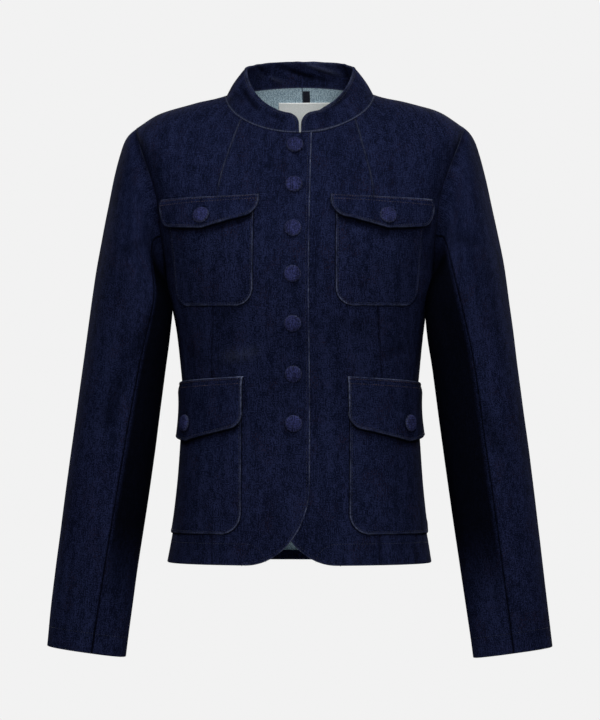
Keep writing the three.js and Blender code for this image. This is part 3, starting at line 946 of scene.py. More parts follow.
@dataclass
class Sewn:
    """A finished piece: its outer points and their distance from each border."""

    outer: Array
    distance: dict[Side, Array]

    def rows(self, sides: tuple[Side, ...], inset: float, trim: dict[Side, float]) -> list[Array]:
        """Give paths for stitches beside some borders.

        Args:
            sides: borders to follow.
            inset: distance of the stitches from them.
            trim: borders that the stitches stay away from, and how far.

        Returns:
            Paths on the outer face.
        """
        level = np.minimum.reduce([self.distance[side] for side in sides])
        paths = contour_paths(self.outer, level, inset)
        kept = []
        for path in paths:
            keep = np.ones(len(path), bool)
            for side, room in trim.items():
                gap, _ = nearest_on_path(path, side.path(self.outer))
                keep &= gap > room
            cuts = np.flatnonzero(np.diff(keep.astype(int))) + 1
            parts = np.split(np.arange(len(path)), cuts)
            kept += [path[part] for part in parts if keep[part[0]] and len(part) > 3]
        return kept


def add_node(
    tree: bpy.types.NodeTree, kind: str, settings: dict, inputs: dict
) -> bpy.types.Node:
    """Add a node with its settings, values and links.

    Args:
        tree: tree to add it to.
        kind: type of the node.
        settings: its properties, set first.
        inputs: values, sockets or signals for its own sockets, by name or number.

    Returns:
        The new node.
    """
    node = tree.nodes.new(kind)
    for key, value in settings.items():
        setattr(node, key, value)
    for key, value in inputs.items():
        source = value.socket if isinstance(value, Signal) else value
        if isinstance(source, bpy.types.NodeSocket):
            tree.links.new(source, node.inputs[key])
        else:
            node.inputs[key].default_value = source
    return node


class Signal:
    """One output of a shader node, which adds and multiplies as a number does."""

    def __init__(self, tree: "ShaderTree", socket: bpy.types.NodeSocket) -> None:
        """Wrap a socket of a shader tree."""
        self.tree = tree
        self.socket = socket

    def _maths(self, operation: str, first: object, second: object) -> "Signal":
        """Add one Math node."""
        return self.tree.signal("ShaderNodeMath", {"operation": operation}, {0: first, 1: second})

    def __add__(self, other: object) -> "Signal":
        """Add."""
        return self._maths("ADD", self, other)

    def __sub__(self, other: object) -> "Signal":
        """Subtract."""
        return self._maths("SUBTRACT", self, other)

    def __rsub__(self, other: object) -> "Signal":
        """Subtract from a number, as in 1 - mask."""
        return self._maths("SUBTRACT", other, self)

    def __mul__(self, other: object) -> "Signal":
        """Multiply."""
        return self._maths("MULTIPLY", self, other)

    __radd__ = __add__
    __rmul__ = __mul__

    def held(self) -> "Signal":
        """Hold between 0 and 1."""
        return self.tree.signal("ShaderNodeClamp", {}, {0: self})

    def between(self, low: float, high: float) -> "Signal":
        """Rise smoothly from 0 to 1 between two values."""
        settings = {"interpolation_type": "SMOOTHSTEP"}
        return self.tree.signal("ShaderNodeMapRange", settings, {0: self, 1: low, 2: high})


class ShaderTree:
    """A material's node tree and the few ways in which this script adds nodes to it."""

    def __init__(self, name: str, roughness: float, specular: float = 0.12) -> None:
        """Start a material.

        Args:
            name: name of the material.
            roughness: roughness all over.
            specular: strength of its gloss.
        """
        self.material = bpy.data.materials.new(name)
        self.material.use_nodes = True
        self.tree = self.material.node_tree
        self.shader = self.tree.nodes["Principled BSDF"]
        self.shader.inputs["Roughness"].default_value = roughness
        self.shader.inputs["Specular IOR Level"].default_value = specular

    def signal(self, kind: str, settings: dict, inputs: dict, output: int | str = 0) -> Signal:
        """Add a node and give one of its outputs."""
        return Signal(self, add_node(self.tree, kind, settings, inputs).outputs[output])

    def attribute(self, name: str) -> Signal:
        """Read a number stored on the mesh."""
        return self.signal("ShaderNodeAttribute", {"attribute_name": name}, {}, "Fac")

    def cloth(self, across: float, along: float, shift: float = 0.0) -> Signal:
        """Give the place on the cloth, counted in cells.

        Args:
            across: cell size across the grain, in millimetres.
            along: cell size along it.
            shift: moves the cells, so that two patterns differ.

        Returns:
            The place as a vector.
        """
        source = self.signal("ShaderNodeUVMap", {"uv_map": "cloth"}, {})
        inputs = {0: source, 1: (1 / (across * METRE), 1 / (along * METRE), 0)}
        scaled = self.signal("ShaderNodeVectorMath", {"operation": "MULTIPLY"}, inputs)
        inputs = {0: scaled, 1: (shift, shift * 0.7, 0)}
        return self.signal("ShaderNodeVectorMath", {"operation": "ADD"}, inputs)

    def noise(self, place: Signal, detail: float) -> Signal:
        """Give noise of mean about 0.5 at a place."""
        inputs = {"Vector": place, "Scale": 1.0, "Detail": detail, "Roughness": 0.55}
        return self.signal("ShaderNodeTexNoise", {"noise_dimensions": "2D"}, inputs)

    def twill(self, across: float, along: float) -> Signal:
        """Give the slanting ribs of twill.

        Args:
            across: width of a rib across the grain, in millimetres.
            along: height of a rib along it.

        Returns:
            A wave from 0 to 1.
        """
        settings = {"wave_type": "BANDS", "bands_direction": "DIAGONAL"}
        inputs = {"Vector": self.cloth(across * 20, along * 20), "Scale": 2.0, "Distortion": 0.6}
        return self.signal("ShaderNodeTexWave", settings, inputs, "Fac")

    def colours(self, share: Signal, first: object, second: object) -> Signal:
        """Mix two colours.

        Args:
            share: share of the second.
            first: a signal or three numbers.
            second: a signal or three numbers.

        Returns:
            The mixed colour.
        """
        inputs = {0: share}
        for key, colour in ((6, first), (7, second)):
            inputs[key] = colour if isinstance(colour, Signal) else (*colour, 1)
        return self.signal("ShaderNodeMix", {"data_type": "RGBA"}, inputs, 2)

    def finish(self, colour: Signal, height: Signal | None, depth: float) -> bpy.types.Material:
        """Connect the colour and the bump.

        Args:
            colour: base colour.
            height: bump height from 0 to 1, or none.
            depth: depth of the bump in millimetres.

        Returns:
            The finished material.
        """
        self.tree.links.new(colour.socket, self.shader.inputs["Base Color"])
        if height is not None:
            inputs = {"Height": height, "Distance": depth * METRE, "Strength": 1.0}
            bump = self.signal("ShaderNodeBump", {}, inputs)
            self.tree.links.new(bump.socket, self.shader.inputs["Normal"])
        return self.material


@dataclass(frozen=True)
class DenimFinish:
    """Dark indigo twill with slubs, worn pale on its edges and pale on its wrong side; the deep attribute
    darkens it with painted shade, and the pale wear also carries some painted highlight.
    """

    name: str = "indigo_denim"
    dark: tuple = (0.002, 0.0031, 0.0106)
    light: tuple = (0.0114, 0.0152, 0.046)
    warm: tuple = (0.0088, 0.006, 0.0135)
    # colour of the painted shade, mixed in by the deep attribute
    painted_shade_colour: tuple = (0.0002, 0.0004, 0.0013)
    worn: tuple = (0.085, 0.1, 0.165)
    reverse_light: tuple = (0.52, 0.67, 0.74)
    reverse_dark: tuple = (0.24, 0.34, 0.42)
    roughness: float = 0.92

    def build(self) -> bpy.types.Material:
        """Build the material.

        Returns:
            The material.
        """
        tree = ShaderTree(self.name, self.roughness, 0.02)
        streak = tree.noise(tree.cloth(1.3, 9), 1.5)
        weft = tree.noise(tree.cloth(7, 1.25, 19), 1.0)
        speckle = tree.noise(tree.cloth(1.35, 1.5, 31), 1.5)
        mottle = tree.noise(tree.cloth(9, 14, 57), 2.0)
        band = tree.noise(tree.cloth(15, 110, 83), 2.0)
        ribs = tree.twill(1.0, 1.15)
        yarn = streak * 0.85 + weft * 0.45 + speckle * 1.5 + mottle * 0.45 + band * 0.5
        share = ((yarn - 1.87) * 1.9 + 0.36).held()
        face = tree.colours(share, self.dark, self.light)
        slub = tree.noise(tree.cloth(1.0, 20, 113), 0.5).between(0.66, 0.8) * 0.3
        face = tree.colours(slub, face, self.light)
        tint = tree.noise(tree.cloth(30, 38, 141), 2.0).between(0.5, 0.75)
        fleck = tree.noise(tree.cloth(1.6, 3.2, 171), 1.0).between(0.5, 0.68)
        face = tree.colours(tint * fleck * 0.65, face, self.warm)
        # painted shade: the deep attribute darkens the face where shade and shadows fall
        face = tree.colours(tree.attribute("deep") * 0.93, face, self.painted_shade_colour)
        rub = tree.noise(tree.cloth(1.5, 3.5, 201), 1.0).between(0.3, 0.62)
        # the worn attribute is edge wear, and also painted highlight on crease ridges and the collar's
        # rolled top edge
        worn = (tree.attribute("worn") * (0.35 + rub * 0.85)).held()
        face = tree.colours(worn, face, self.worn)
        grain = tree.noise(tree.cloth(1.4, 1.8, 231), 1.5) * 0.7 + streak * 0.3
        pale = tree.colours(grain.between(0.4, 0.62), self.reverse_dark, self.reverse_light)
        colour = tree.colours(tree.attribute("reverse"), face, pale)
        height = streak * 0.4 + speckle * 0.4 + ribs * 0.07
        return tree.finish(colour, height, 0.2)


BUTTON_DENIM = DenimFinish(
    name="rubbed_button_denim",
    dark=(0.0035, 0.0042, 0.018),
    light=(0.024, 0.028, 0.1),
)


@dataclass(frozen=True)
class ThreadFinish:
    """Sewing thread."""

    name: str = "indigo_thread"
    colour: tuple = (0.0045, 0.0062, 0.017)
    faded: tuple = (0.015, 0.018, 0.036)

    def build(self) -> bpy.types.Material:
        """Build the material.

        Returns:
            The material.
        """
        tree = ShaderTree(self.name, 0.7, 0.25)
        place = tree.signal("ShaderNodeTexCoord", {}, {}, "Object")
        inputs = {"Vector": place, "Scale": 180.0, "Detail": 1.0}
        share = tree.signal("ShaderNodeTexNoise", {}, inputs).between(0.4, 0.65)
        return tree.finish(tree.colours(share, self.colour, self.faded), None, 0)


WARM_THREAD = ThreadFinish("faded_brown_thread", (0.012, 0.009, 0.017), (0.052, 0.034, 0.04))
PALE_THREAD = ThreadFinish("pale_label_thread", (0.5, 0.5, 0.47), (0.72, 0.72, 0.68))


@dataclass(frozen=True)
class LabelFinish:
    """Cream woven cotton of the bare label."""

    name: str = "cream_label_weave"
    light: tuple = (0.93, 0.95, 0.93)
    shade: tuple = (0.8, 0.83, 0.81)

    def build(self) -> bpy.types.Material:
        """Build the material.

        Returns:
            The material.
        """
        tree = ShaderTree(self.name, 0.75, 0.2)
        weft = tree.noise(tree.cloth(2.2, 0.5), 1.0)
        warp = tree.noise(tree.cloth(0.5, 2.2, 41), 1.0)
        share = (weft * 0.5 + warp * 0.5).between(0.36, 0.62)
        return tree.finish(tree.colours(share, self.shade, self.light), share, 0.08)


@dataclass(frozen=True)
class TapeFinish:
    """Dark ribbed seam tape."""

    name: str = "dark_ribbed_tape"
    dark: tuple = (0.0035, 0.0042, 0.011)
    light: tuple = (0.035, 0.04, 0.06)

    def build(self) -> bpy.types.Material:
        """Build the material.

        Returns:
            The material.
        """
        tree = ShaderTree(self.name, 0.75, 0.2)
        ribs = tree.noise(tree.cloth(3.0, 0.9), 1.0)
        flecks = tree.noise(tree.cloth(0.9, 1.1, 61), 1.0).between(0.58, 0.75)
        share = (ribs * 0.35 + flecks * 0.6).held()
        return tree.finish(tree.colours(share, self.dark, self.light), ribs, 0.3)


def new_object(name: str, data: bpy.types.ID) -> bpy.types.Object:
    """Put a mesh, a camera or a lamp in the scene as an object at the origin.

    Args:
        name: name of the object.
        data: what it shows.

    Returns:
        The object.
    """
    made = bpy.data.objects.new(name, data)
    bpy.context.scene.collection.objects.link(made)
    return made


def to_metres(points: Array) -> Array:
    """Turn millimetres over the hem into metres from the neck point."""
    return (points - np.array([0, 0, NECK_POINT_HEIGHT])) * METRE


def grid_faces(rows: int, columns: int) -> Array:
    """Give the faces of a closed wall between an outer and an inner grid.

    Args:
        rows: rows of each grid.
        columns: columns of each grid.

    Returns:
        Four indices for each face, the outer grid's points first.
    """
    outer = np.arange(rows * columns).reshape(rows, columns)
    inner = outer + rows * columns

    def quads(a: Array, b: Array, c: Array, d: Array) -> Array:
        """Stack four index arrays as faces."""
        return np.stack([a.ravel(), b.ravel(), c.ravel(), d.ravel()], axis=1)

    def cells(grid: Array) -> tuple[Array, Array, Array, Array]:
        """Give the four corners of a grid's cells."""
        return grid[:-1, :-1], grid[:-1, 1:], grid[1:, 1:], grid[1:, :-1]

    a, b, c, d = cells(outer)
    faces = [quads(a, b, c, d)]
    a, b, c, d = cells(inner)
    faces.append(quads(a, d, c, b))
    left, right = (0, columns - 1)
    low, high = (0, rows - 1)
    faces.append(quads(inner[:-1, left], outer[:-1, left], outer[1:, left], inner[1:, left]))
    faces.append(quads(outer[:-1, right], inner[:-1, right], inner[1:, right], outer[1:, right]))
    faces.append(quads(inner[low, :-1], inner[low, 1:], outer[low, 1:], outer[low, :-1]))
    faces.append(quads(outer[high, :-1], outer[high, 1:], inner[high, 1:], inner[high, :-1]))
    return np.concatenate(faces)


def make_mesh(name: str, points: Array, faces: Array, cloth: Array) -> bpy.types.Mesh:
    """Make a smooth mesh with a cloth map.

    Args:
        name: name of the mesh.
        points: vertices in millimetres over the hem.
        faces: four vertex numbers for each face.
        cloth: each vertex's place on the cloth in millimetres.

    Returns:
        The mesh.
    """
    mesh = bpy.data.meshes.new(name)
    mesh.from_pydata(to_metres(points).tolist(), [], faces.tolist())
    corners = np.zeros(len(mesh.loops), dtype=np.int32)
    mesh.loops.foreach_get("vertex_index", corners)
    layer = mesh.uv_layers.new(name="cloth")
    layer.data.foreach_set("uv", (cloth[corners] * METRE).astype(np.float32).ravel())
    mesh.polygons.foreach_set("use_smooth", np.ones(len(mesh.polygons), bool))
    mesh.set_sharp_from_angle(angle=55 * DEGREE)
    return mesh


def store(mesh: bpy.types.Mesh, name: str, values: Array) -> None:
    """Store one number for each vertex of a mesh."""
    layer = mesh.attributes.new(name, "FLOAT", "POINT")
    layer.data.foreach_set("value", values.astype(np.float32).ravel())


class StitchTree:
    """Geometry Nodes that lay a small spindle of thread at every stitch along a path."""

    def __init__(self) -> None:
        """Build the tree."""
        self.group = bpy.data.node_groups.new("stitches_along_paths", "GeometryNodeTree")
        self.sockets: dict[str, str] = {}
        kinds = {"Geometry": "Geometry", "Seed": "Int", "Thread": "Material"}
        for label in ("Geometry", "Pitch", "Stitch Length", "Thread Width", "Seed", "Thread"):
            kind = "NodeSocket" + kinds.get(label, "Float")
            made = self.group.interface.new_socket(name=label, in_out="INPUT", socket_type=kind)
            self.sockets[label] = made.identifier
        kind = "NodeSocketGeometry"
        self.group.interface.new_socket(name="Geometry", in_out="OUTPUT", socket_type=kind)
        self._wire()

    def _node(self, kind: str, settings: dict, inputs: dict) -> bpy.types.NodeSocket:
        """Add a node and give its first output."""
        return add_node(self.group, kind, settings, inputs).outputs[0]

    def _wire(self) -> None:
        """Connect the nodes."""
        given = add_node(self.group, "NodeGroupInput", {}, {}).outputs
        curve = self._node("GeometryNodeMeshToCurve", {}, {"Mesh": given["Geometry"]})
        inputs = {"Curve": curve, "Length": given["Pitch"]}
        dots = self._node("GeometryNodeResampleCurve", {"mode": "LENGTH"}, inputs)
        tangent = self._node("GeometryNodeInputTangent", {}, {})
        turn = self._node("FunctionNodeAlignRotationToVector", {"axis": "X"}, {"Vector": tangent})
        inputs = {"Segments": 6, "Rings": 4, "Radius": 0.5}
        spindle = self._node("GeometryNodeMeshUVSphere", {}, inputs)
        inputs = {2: 0.85, 3: 1.15, "Seed": given["Seed"]}
        vary = add_node(self.group, "FunctionNodeRandomValue", {"data_type": "FLOAT"}, inputs)
        inputs = {0: given["Stitch Length"], 1: vary.outputs[1]}
        length = self._node("ShaderNodeMath", {"operation": "MULTIPLY"}, inputs)
        width = given["Thread Width"]
        size = self._node("ShaderNodeCombineXYZ", {}, {0: length, 1: width, 2: width})
        inputs = {"Points": dots, "Instance": spindle, "Rotation": turn, "Scale": size}
        laid = self._node("GeometryNodeInstanceOnPoints", {}, inputs)
        real = self._node("GeometryNodeRealizeInstances", {}, {0: laid})
        inputs = {"Geometry": real, "Material": given["Thread"]}
        dressed = self._node("GeometryNodeSetMaterial", {}, inputs)
        add_node(self.group, "NodeGroupOutput", {}, {0: dressed})

    def lay(
        self, name: str, paths: list[Array], thread: bpy.types.Material, size: tuple = (3.2, 2.3, 0.62)
    ) -> bpy.types.Object:
        """Lay stitches along paths.

        Args:
            name: name of the piece.
            paths: points in millimetres over the hem.
            thread: material of the thread.
            size: pitch, stitch length and thread width in millimetres.

        Returns:
            The stitches as one plain mesh.
        """
        points = to_metres(np.concatenate(paths))
        starts = np.cumsum([0, *[len(path) for path in paths]])
        edges = [(i, i + 1) for i in range(len(points) - 1) if i + 1 not in starts[1:]]
        mesh = bpy.data.meshes.new(name)
        mesh.from_pydata(points.tolist(), edges, [])
        piece = new_object(name, mesh)
        modifier = piece.modifiers.new("stitches", "NODES")
        modifier.node_group = self.group
        for label, value in zip(("Pitch", "Stitch Length", "Thread Width"), size):
            modifier[self.sockets[label]] = value * METRE
        modifier[self.sockets["Seed"]] = 7
        modifier[self.sockets["Thread"]] = thread
        graph = bpy.context.evaluated_depsgraph_get()
        sewn = bpy.data.meshes.new_from_object(piece.evaluated_get(graph))
        piece.modifiers.remove(modifier)
        piece.data = sewn
        sewn.polygons.foreach_set("use_smooth", np.ones(len(sewn.polygons), bool))
        return piece


@dataclass(frozen=True)
class EdgeWork:
    """What sewing, wear and painted shade do to a panel beside its edges, with sizes in millimetres."""

    panel: Panel
    distance: dict[Side, Array]
    along: dict[Side, Array]
    pucker_reach: float = 13.0
    pucker_short: float = 6.5
    pucker_long: float = 15.0
    puff_at: float = 2.2
    puff_width: float = 1.3
    puff_height: float = 0.28
    groove_width: float = 0.75
    groove_depth: float = 0.3
    patch_long: float = 13.0
    patch_short: float = 4.0
    corner_reach: float = 12.0
    fade_height: float = 50.0

    def puckers(self) -> Array:
        """Give the rise of the small waves beside sewn edges.

        Returns:
            The rise of each point.
        """
        total = np.zeros(self.panel.thick.shape)
        for number, (side, border) in enumerate(self.panel.borders.items()):
            if border.pucker:
                reach = bell(self.distance[side] / self.pucker_reach)
                wave = line_noise(self.along[side], self.pucker_short, 40 + number)
                wave += 0.6 * line_noise(self.along[side], self.pucker_long, 50 + number)
                total += border.pucker * wave * reach
        return total

    def rolled(self, inner: bool) -> Array:
        """Give how far a face rolls away at the borders.

        Args:
            inner: whether it is the inner face.

        Returns:
            The drop of each point.
        """
        drop = np.zeros(self.panel.thick.shape)
        for side, border in self.panel.borders.items():
            drop = np.maximum(drop, border.edge.drop(self.distance[side], self.panel.thick, inner))
        return drop

    def ridges(self) -> Array:
        """Give the rise of the puffed edge and the groove of a line of topstitching.

        Returns:
            The rise of each point.
        """
        total = np.zeros(self.panel.thick.shape)
        for side, border in self.panel.borders.items():
            if border.topstitched:
                puff = bell((self.distance[side] - self.puff_at) / self.puff_width)
                groove = bell((self.distance[side] - STITCH_INSET) / self.groove_width)
                total += self.puff_height * puff - self.groove_depth * groove
        return total

    def worn(self) -> Array:
        """Give how pale each point is worn.

        Returns:
            Shares from 0 to 1.
        """
        panel = self.panel
        total = np.zeros(panel.thick.shape)
        for number, (side, border) in enumerate(panel.borders.items()):
            if border.worn:
                patchy = 0.6 + 0.45 * line_noise(self.along[side], self.patch_long, 60 + number)
                patchy += 0.35 * line_noise(self.along[side], self.patch_short, 70 + number)
                others = [self.distance[other] for other in panel.borders if other is not side]
                corner = 0.75 + 0.7 * np.exp(-np.minimum.reduce(others) / self.corner_reach)
                if border.edge is Edge.TURNED:
                    patchy, corner = (0.85, 1)
                line = bell((self.distance[side] - border.wear_in) / border.wear_width)
                low = border.worn_above - self.fade_height
                high = smooth(low, border.worn_above, panel.points[..., 2])
                patchy = np.clip(patchy, 0.12, 1.2) * corner * high
                total = np.maximum(total, border.worn * patchy * line)
        return total

    def reverse(self) -> Array:
        """Give where the inner face shows the pale wrong side, which fades out at the borders.

        Returns:
            Shares from 0 to 1.
        """
        panel = self.panel
        pale = np.zeros(panel.thick.shape) if panel.reverse is None else panel.reverse
        for side, border in panel.borders.items():
            start = PALE_EDGE if border.edge is Edge.FOLD else 0.0
            pale = pale * smooth(start, start + PALE_EDGE, self.distance[side])
        return pale

    def deep(self) -> Array:
        """Give the painted shade: the panel's own, and dark lines along its borders that stand in for the
        shade in seam grooves and the shadow at folded edges, also on their walls.

        Returns:
            Shares from 0 to 1, for the outer face and the inner one.
        """
        panel = self.panel
        deep = np.zeros(panel.thick.shape) if panel.deep is None else panel.deep
        rim = np.zeros(panel.thick.shape)
        for side, border in panel.borders.items():
            line = border.shade * bell(self.distance[side] / border.shade_width)
            deep = np.maximum(deep, line)
            if border.edge is Edge.FOLD:
                rim = np.maximum(rim, line)
        return np.array([deep, rim])


class Workroom:
    """Holds the finishes and turns panels into sewn pieces on the frame."""

    # crease ridges are coloured paler: partly wear, partly painted highlight
    ridge_wear_and_highlight_per_height: float = 0.07
    most_ridge_wear_and_highlight: float = 0.2
    # crease troughs are coloured darker: painted shade
    crease_shade_per_depth: float = 0.25
    most_crease_shade: float = 0.8

    def __init__(self, relief: Relief) -> None:
        """Open the workroom.

        Args:
            relief: unevenness shared by all the cloth.
        """
        self.relief = relief
        self.denim = DenimFinish().build()
        self.button = BUTTON_DENIM.build()
        self.thread = ThreadFinish().build()
        self.warm_thread = WARM_THREAD.build()
        self.pale_thread = PALE_THREAD.build()
        self.label = LabelFinish().build()
        self.tape = TapeFinish().build()
        self.stitches = StitchTree()

    def sew(
        self,
        panel: Panel,
        finish: bpy.types.Material | None = None,
        slot: str = "denim",
        rests_on: tuple[str, ...] = (),
    ) -> Sewn:
        """Args:
            panel: the panel, which stands for the solid of the same name.
            finish: its material, or none for denim.
            slot: not used.
            rests_on: solids that it hangs from or lies on, or nothing for a piece too narrow
                to be stated as a sheet.

        Returns:
            The finished piece.
        """
        points = panel.lapped()
        distance = {}
        along = {}
        for side in Side:
            distance[side], along[side] = nearest_on_path(points, side.path(points))
        seat = points if panel.seat is None else panel.seat
        rise = self.relief.rise(seat, panel.normals) * panel.calm
        work = EdgeWork(panel, distance, along)
        rise += work.puckers()
        lift = rise - work.rolled(inner=False) + work.ridges()
        outer = points + panel.normals * lift[..., None]
        sink = rise - panel.thick + work.rolled(inner=True)
        inner = points + panel.normals * sink[..., None]
        cloth = panel.grain.reshape(-1, 2)
        vertices = np.concatenate([outer.reshape(-1, 3), inner.reshape(-1, 3)])
        faces = grid_faces(*panel.thick.shape)
        mesh = make_mesh(panel.name, vertices, faces, np.concatenate([cloth, cloth]))
        folds = self.relief.creased(seat, panel.normals) * panel.calm
        folds = np.array([folds, -folds])
        # crease ridges turn paler: partly wear, partly a painted highlight standing in for light on the
        # ridges
        rubbed = np.clip(folds * self.ridge_wear_and_highlight_per_height, 0, self.most_ridge_wear_and_highlight)
        worn = work.worn()
        store(mesh, "worn", np.maximum([worn, worn * 0.6], rubbed))
        reverse = work.reverse()
        store(mesh, "reverse", np.array([np.zeros(reverse.shape), reverse]))
        # painted shade: crease troughs are coloured darker, on top of the painted shade lines along seams
        # and edges
        dark = np.clip(-folds * self.crease_shade_per_depth, 0, self.most_crease_shade)
        store(mesh, "deep", np.maximum(work.deep(), dark))
        piece = new_object("cloth_" + panel.name, mesh)
        mesh.materials.append(finish or self.denim)
        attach(piece, ROOT)
        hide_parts(panel.name)
        if rests_on:
            self._declare(piece, outer, panel.grain)
        LOG.info("%s: %d faces", piece.name, len(mesh.polygons))
        return Sewn(outer, distance)

    def _declare(
        self, piece: bpy.types.Object, outer: Array, grain: Array
    ) -> None:
        """State the flat size and area of a sheet.

        Args:
            piece: the sheet.
            outer: its outer points.
            grain: their places on the cloth.
        """

        def longest(axis: int) -> float:
            """Measure the longest line of the grid along one way of the grain.

            Args:
                axis: axis of the grid that the lines follow.

            Returns:
                Its length in metres.
            """
            steps = np.linalg.norm(np.diff(outer, axis=axis), axis=2)
            cloth = np.abs(np.diff(grain, axis=axis))
            share = cloth[..., 1 - axis] / np.maximum(np.linalg.norm(cloth, axis=2), 1e-9)
            return round(float((steps * share).sum(axis=axis).max()) * METRE, 3)

        width = longest(1)
        length = longest(0)
        first = outer[1:, 1:] - outer[:-1, :-1]
        second = outer[1:, :-1] - outer[:-1, 1:]
        area = np.linalg.norm(np.cross(first, second), axis=-1).sum() / 2
        area = round(min(area * METRE**2, width * length), 5)
        LOG.info("%s: cut %.3f by %.3f m, %.4f m2", piece.name, width, length, area)

    def sew_rows(
        self,
        name: str,
        paths: list[Array],
        thread: bpy.types.Material | None = None,
        slot: str = "denim",
    ) -> None:
        """Lay rows of stitches and put them on the frame.

        Args:
            name: name of the piece.
            paths: points of each row.
            thread: material of the thread, or none for indigo.
            slot: not used.
        """
        piece = self.stitches.lay(name, paths, thread or self.thread)
        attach(piece, ROOT)
        LOG.info("%s: %d faces", name, len(piece.data.polygons))


def hem_thickness(level: Array) -> Array:
    """Give the wall's thickness on a level, which is double below the hem fold."""
    return blend(HEM_CLOTH, CLOTH, smooth(HEM_FOLD, HEM_FOLD_END, level))


def hem_reverse(level: Array) -> Array:
    """Give where the wrong side of the cloth shows inside: above the turned-up hem."""
    return smooth(HEM_FOLD, HEM_FOLD + PALE_EDGE, level)


@dataclass
class BodyPanels:
    """The fronts, side fronts and backs."""

    room: Workroom
    body: BodyForm
    lap_over: float = 17.5
    lap_under: float = 27.0
    lap_sink: float = 2.1
    lap_blend: tuple[float, float] = (21.0, 60.0)
    corner_wide: float = 77.0
    corner_tall: float = 100.0
    hem_stitches: float = 25.5
    spacing: float = 3.7
    front_corner: float = 11 / 15
    back_corner: float = 9 / 15
    corner_rows: int = 42
    climb_rows: int = 76
    climb_length: float = 230.0

    def centre_front(self, name: str, lap: float, sink: float) -> Panel:
        """Build a centre front on the wearer's left, from its free edge to the princess seam.

        Args:
            name: name of its solid.
            lap: how far the free edge passes the centre line.
            sink: how far the cloth lies under the other front.

        Returns:
            The panel.
        """
        bends = self.corner_tall * bend_shares(self.corner_rows)
        folds = np.array([HEM_FOLD, HEM_FOLD + PALE_EDGE, HEM_FOLD_END])
        count = round((NECK_LEVEL - self.corner_tall) / self.spacing)
        straight = np.linspace(self.corner_tall, NECK_LEVEL - EDGE_STEPS[-1], count)[1:]
        top = NECK_LEVEL - EDGE_STEPS[::-1][1:]
        levels = np.unique(np.concatenate([bends, folds, straight, top]))[:, None]
        free_x = -lap + self.corner_wide * rounding(1 - levels / self.corner_tall)
        free = self.body.angle_on_level(free_x, levels)
        seam = self.body.princess_angle(levels)

        borders = {
            Side.START: Border(Edge.FOLD, worn=1.0, topstitched=True, pucker=0.12),
            Side.HEM: Border(Edge.FOLD, worn=0.35, pucker=0.45),
            Side.TOP: SEWN,
            # shade: a painted shade line along the princess seam
            Side.END: Border(worn=0.16, pucker=0.3, worn_above=445, shade=0.35),
        }
        panel = self.laid(name, (free, seam), (levels, levels), -90, borders)
        under = sink * (1 - smooth(*self.lap_blend, panel.points[..., 0]))
        panel.seat = panel.points
        panel.points = panel.points - panel.normals * under[..., None]
        return panel

    def laid(self, name: str, angles: tuple, levels: tuple, middle: int, borders: dict) -> Panel:
        """Lay a panel on the body between two edges.

        Args:
            name: name of its solid.
            angles: angles of the first and the last column.
            levels: their levels.
            middle: angle in degrees of the line that the cloth is measured from.
            borders: how each side is finished.

        Returns:
            The panel.
        """
        body = self.body

        def row(shares: Array) -> Array:
            """Give the points of every row at shares of the way across."""
            return body.point(blend(*angles, shares), blend(*levels, shares))

        shares = shares_by_length(row, self.spacing)
        angle = blend(*angles, shares)
        level = blend(*levels, shares)
        normals = body.normal(angle, level)
        calm = body.calm(angle, level)
        grain = body.cloth_place(angle, level, middle)
        panel = Panel(name, body.point(angle, level), normals, hem_thickness(level), calm, grain, borders)
        panel.reverse = hem_reverse(level)
        return panel

    def armhole_panel(
        self,
        name: str,
        turns: tuple[float, float],
        seam: Callable[[Array], Array],
        corner: float,
    ) -> Panel:
        """Build a panel whose outer side runs up the side seam and round the armhole.

        Args:
            name: name of its solid.
            turns: first and last turn on the armhole.
            seam: gives the inner edge's angle on a level.
            corner: share of the climb at which the inner edge reaches the neck.

        Returns:
            The panel, with its inner edge in the first column.
        """
        low = np.concatenate([EDGE_STEPS, [HEM_FOLD, HEM_FOLD + PALE_EDGE, HEM_FOLD_END]])
        count = round(UNDERARM_LEVEL / self.spacing)
        steady = np.linspace(EDGE_STEPS[-1], UNDERARM_LEVEL, count)[1:-1]
        lower = np.unique(np.concatenate([low, steady]))
        climb = np.linspace(0, 1, self.climb_rows)
        climb = np.unique(np.concatenate([climb[:-1], 1 - EDGE_STEPS / self.climb_length]))
        flat = np.zeros(len(lower))
        levels = np.concatenate([lower, np.zeros(len(climb))])
        rise = np.concatenate([flat, climb])
        upper = np.arange(len(levels)) >= len(lower)
        arm_angle, arm_level = self.body.armhole_place(blend(*turns, rise))
        outer_angle = np.where(upper, arm_angle, self.body.side_seam)
        outer_level = np.where(upper, arm_level, levels)
        up = blend(UNDERARM_LEVEL, NECK_LEVEL, np.clip(rise / corner, 0, 1))
        inner_level = np.where(upper, up, levels)
        round_neck = np.clip((rise - corner) / (1 - corner), 0, 1)
        inner_angle = blend(seam(inner_level), self.body.shoulder_seam, round_neck)
        corner_height = 440 if turns[1] == 0 else 1000
        borders = {
            # shade: painted shade lines along the inner seam and round the armhole
            Side.START: Border(worn=0.42, pucker=0.3, worn_above=corner_height, shade=0.5),
            Side.HEM: Border(Edge.FOLD, worn=0.35, pucker=0.4),
            Side.TOP: SEWN,
            Side.END: Border(Edge.FLAT, pucker=0.12, shade=0.7),
        }
        angles = (inner_angle[:, None], outer_angle[:, None])
        levels = (inner_level[:, None], outer_level[:, None])
        return self.laid(name, angles, levels, -90 if turns[1] == 0 else 90, borders)

    def side_front(self, name: str) -> Panel:
        """Build the side front on the wearer's left."""
        return self.armhole_panel(name, (180, 0), self.body.princess_angle, self.front_corner)

    def back(self, name: str) -> Panel:
        """Build the back on the wearer's left, with its columns turned to face outwards.

        Args:
            name: name of its solid.

        Returns:
            The panel.
        """

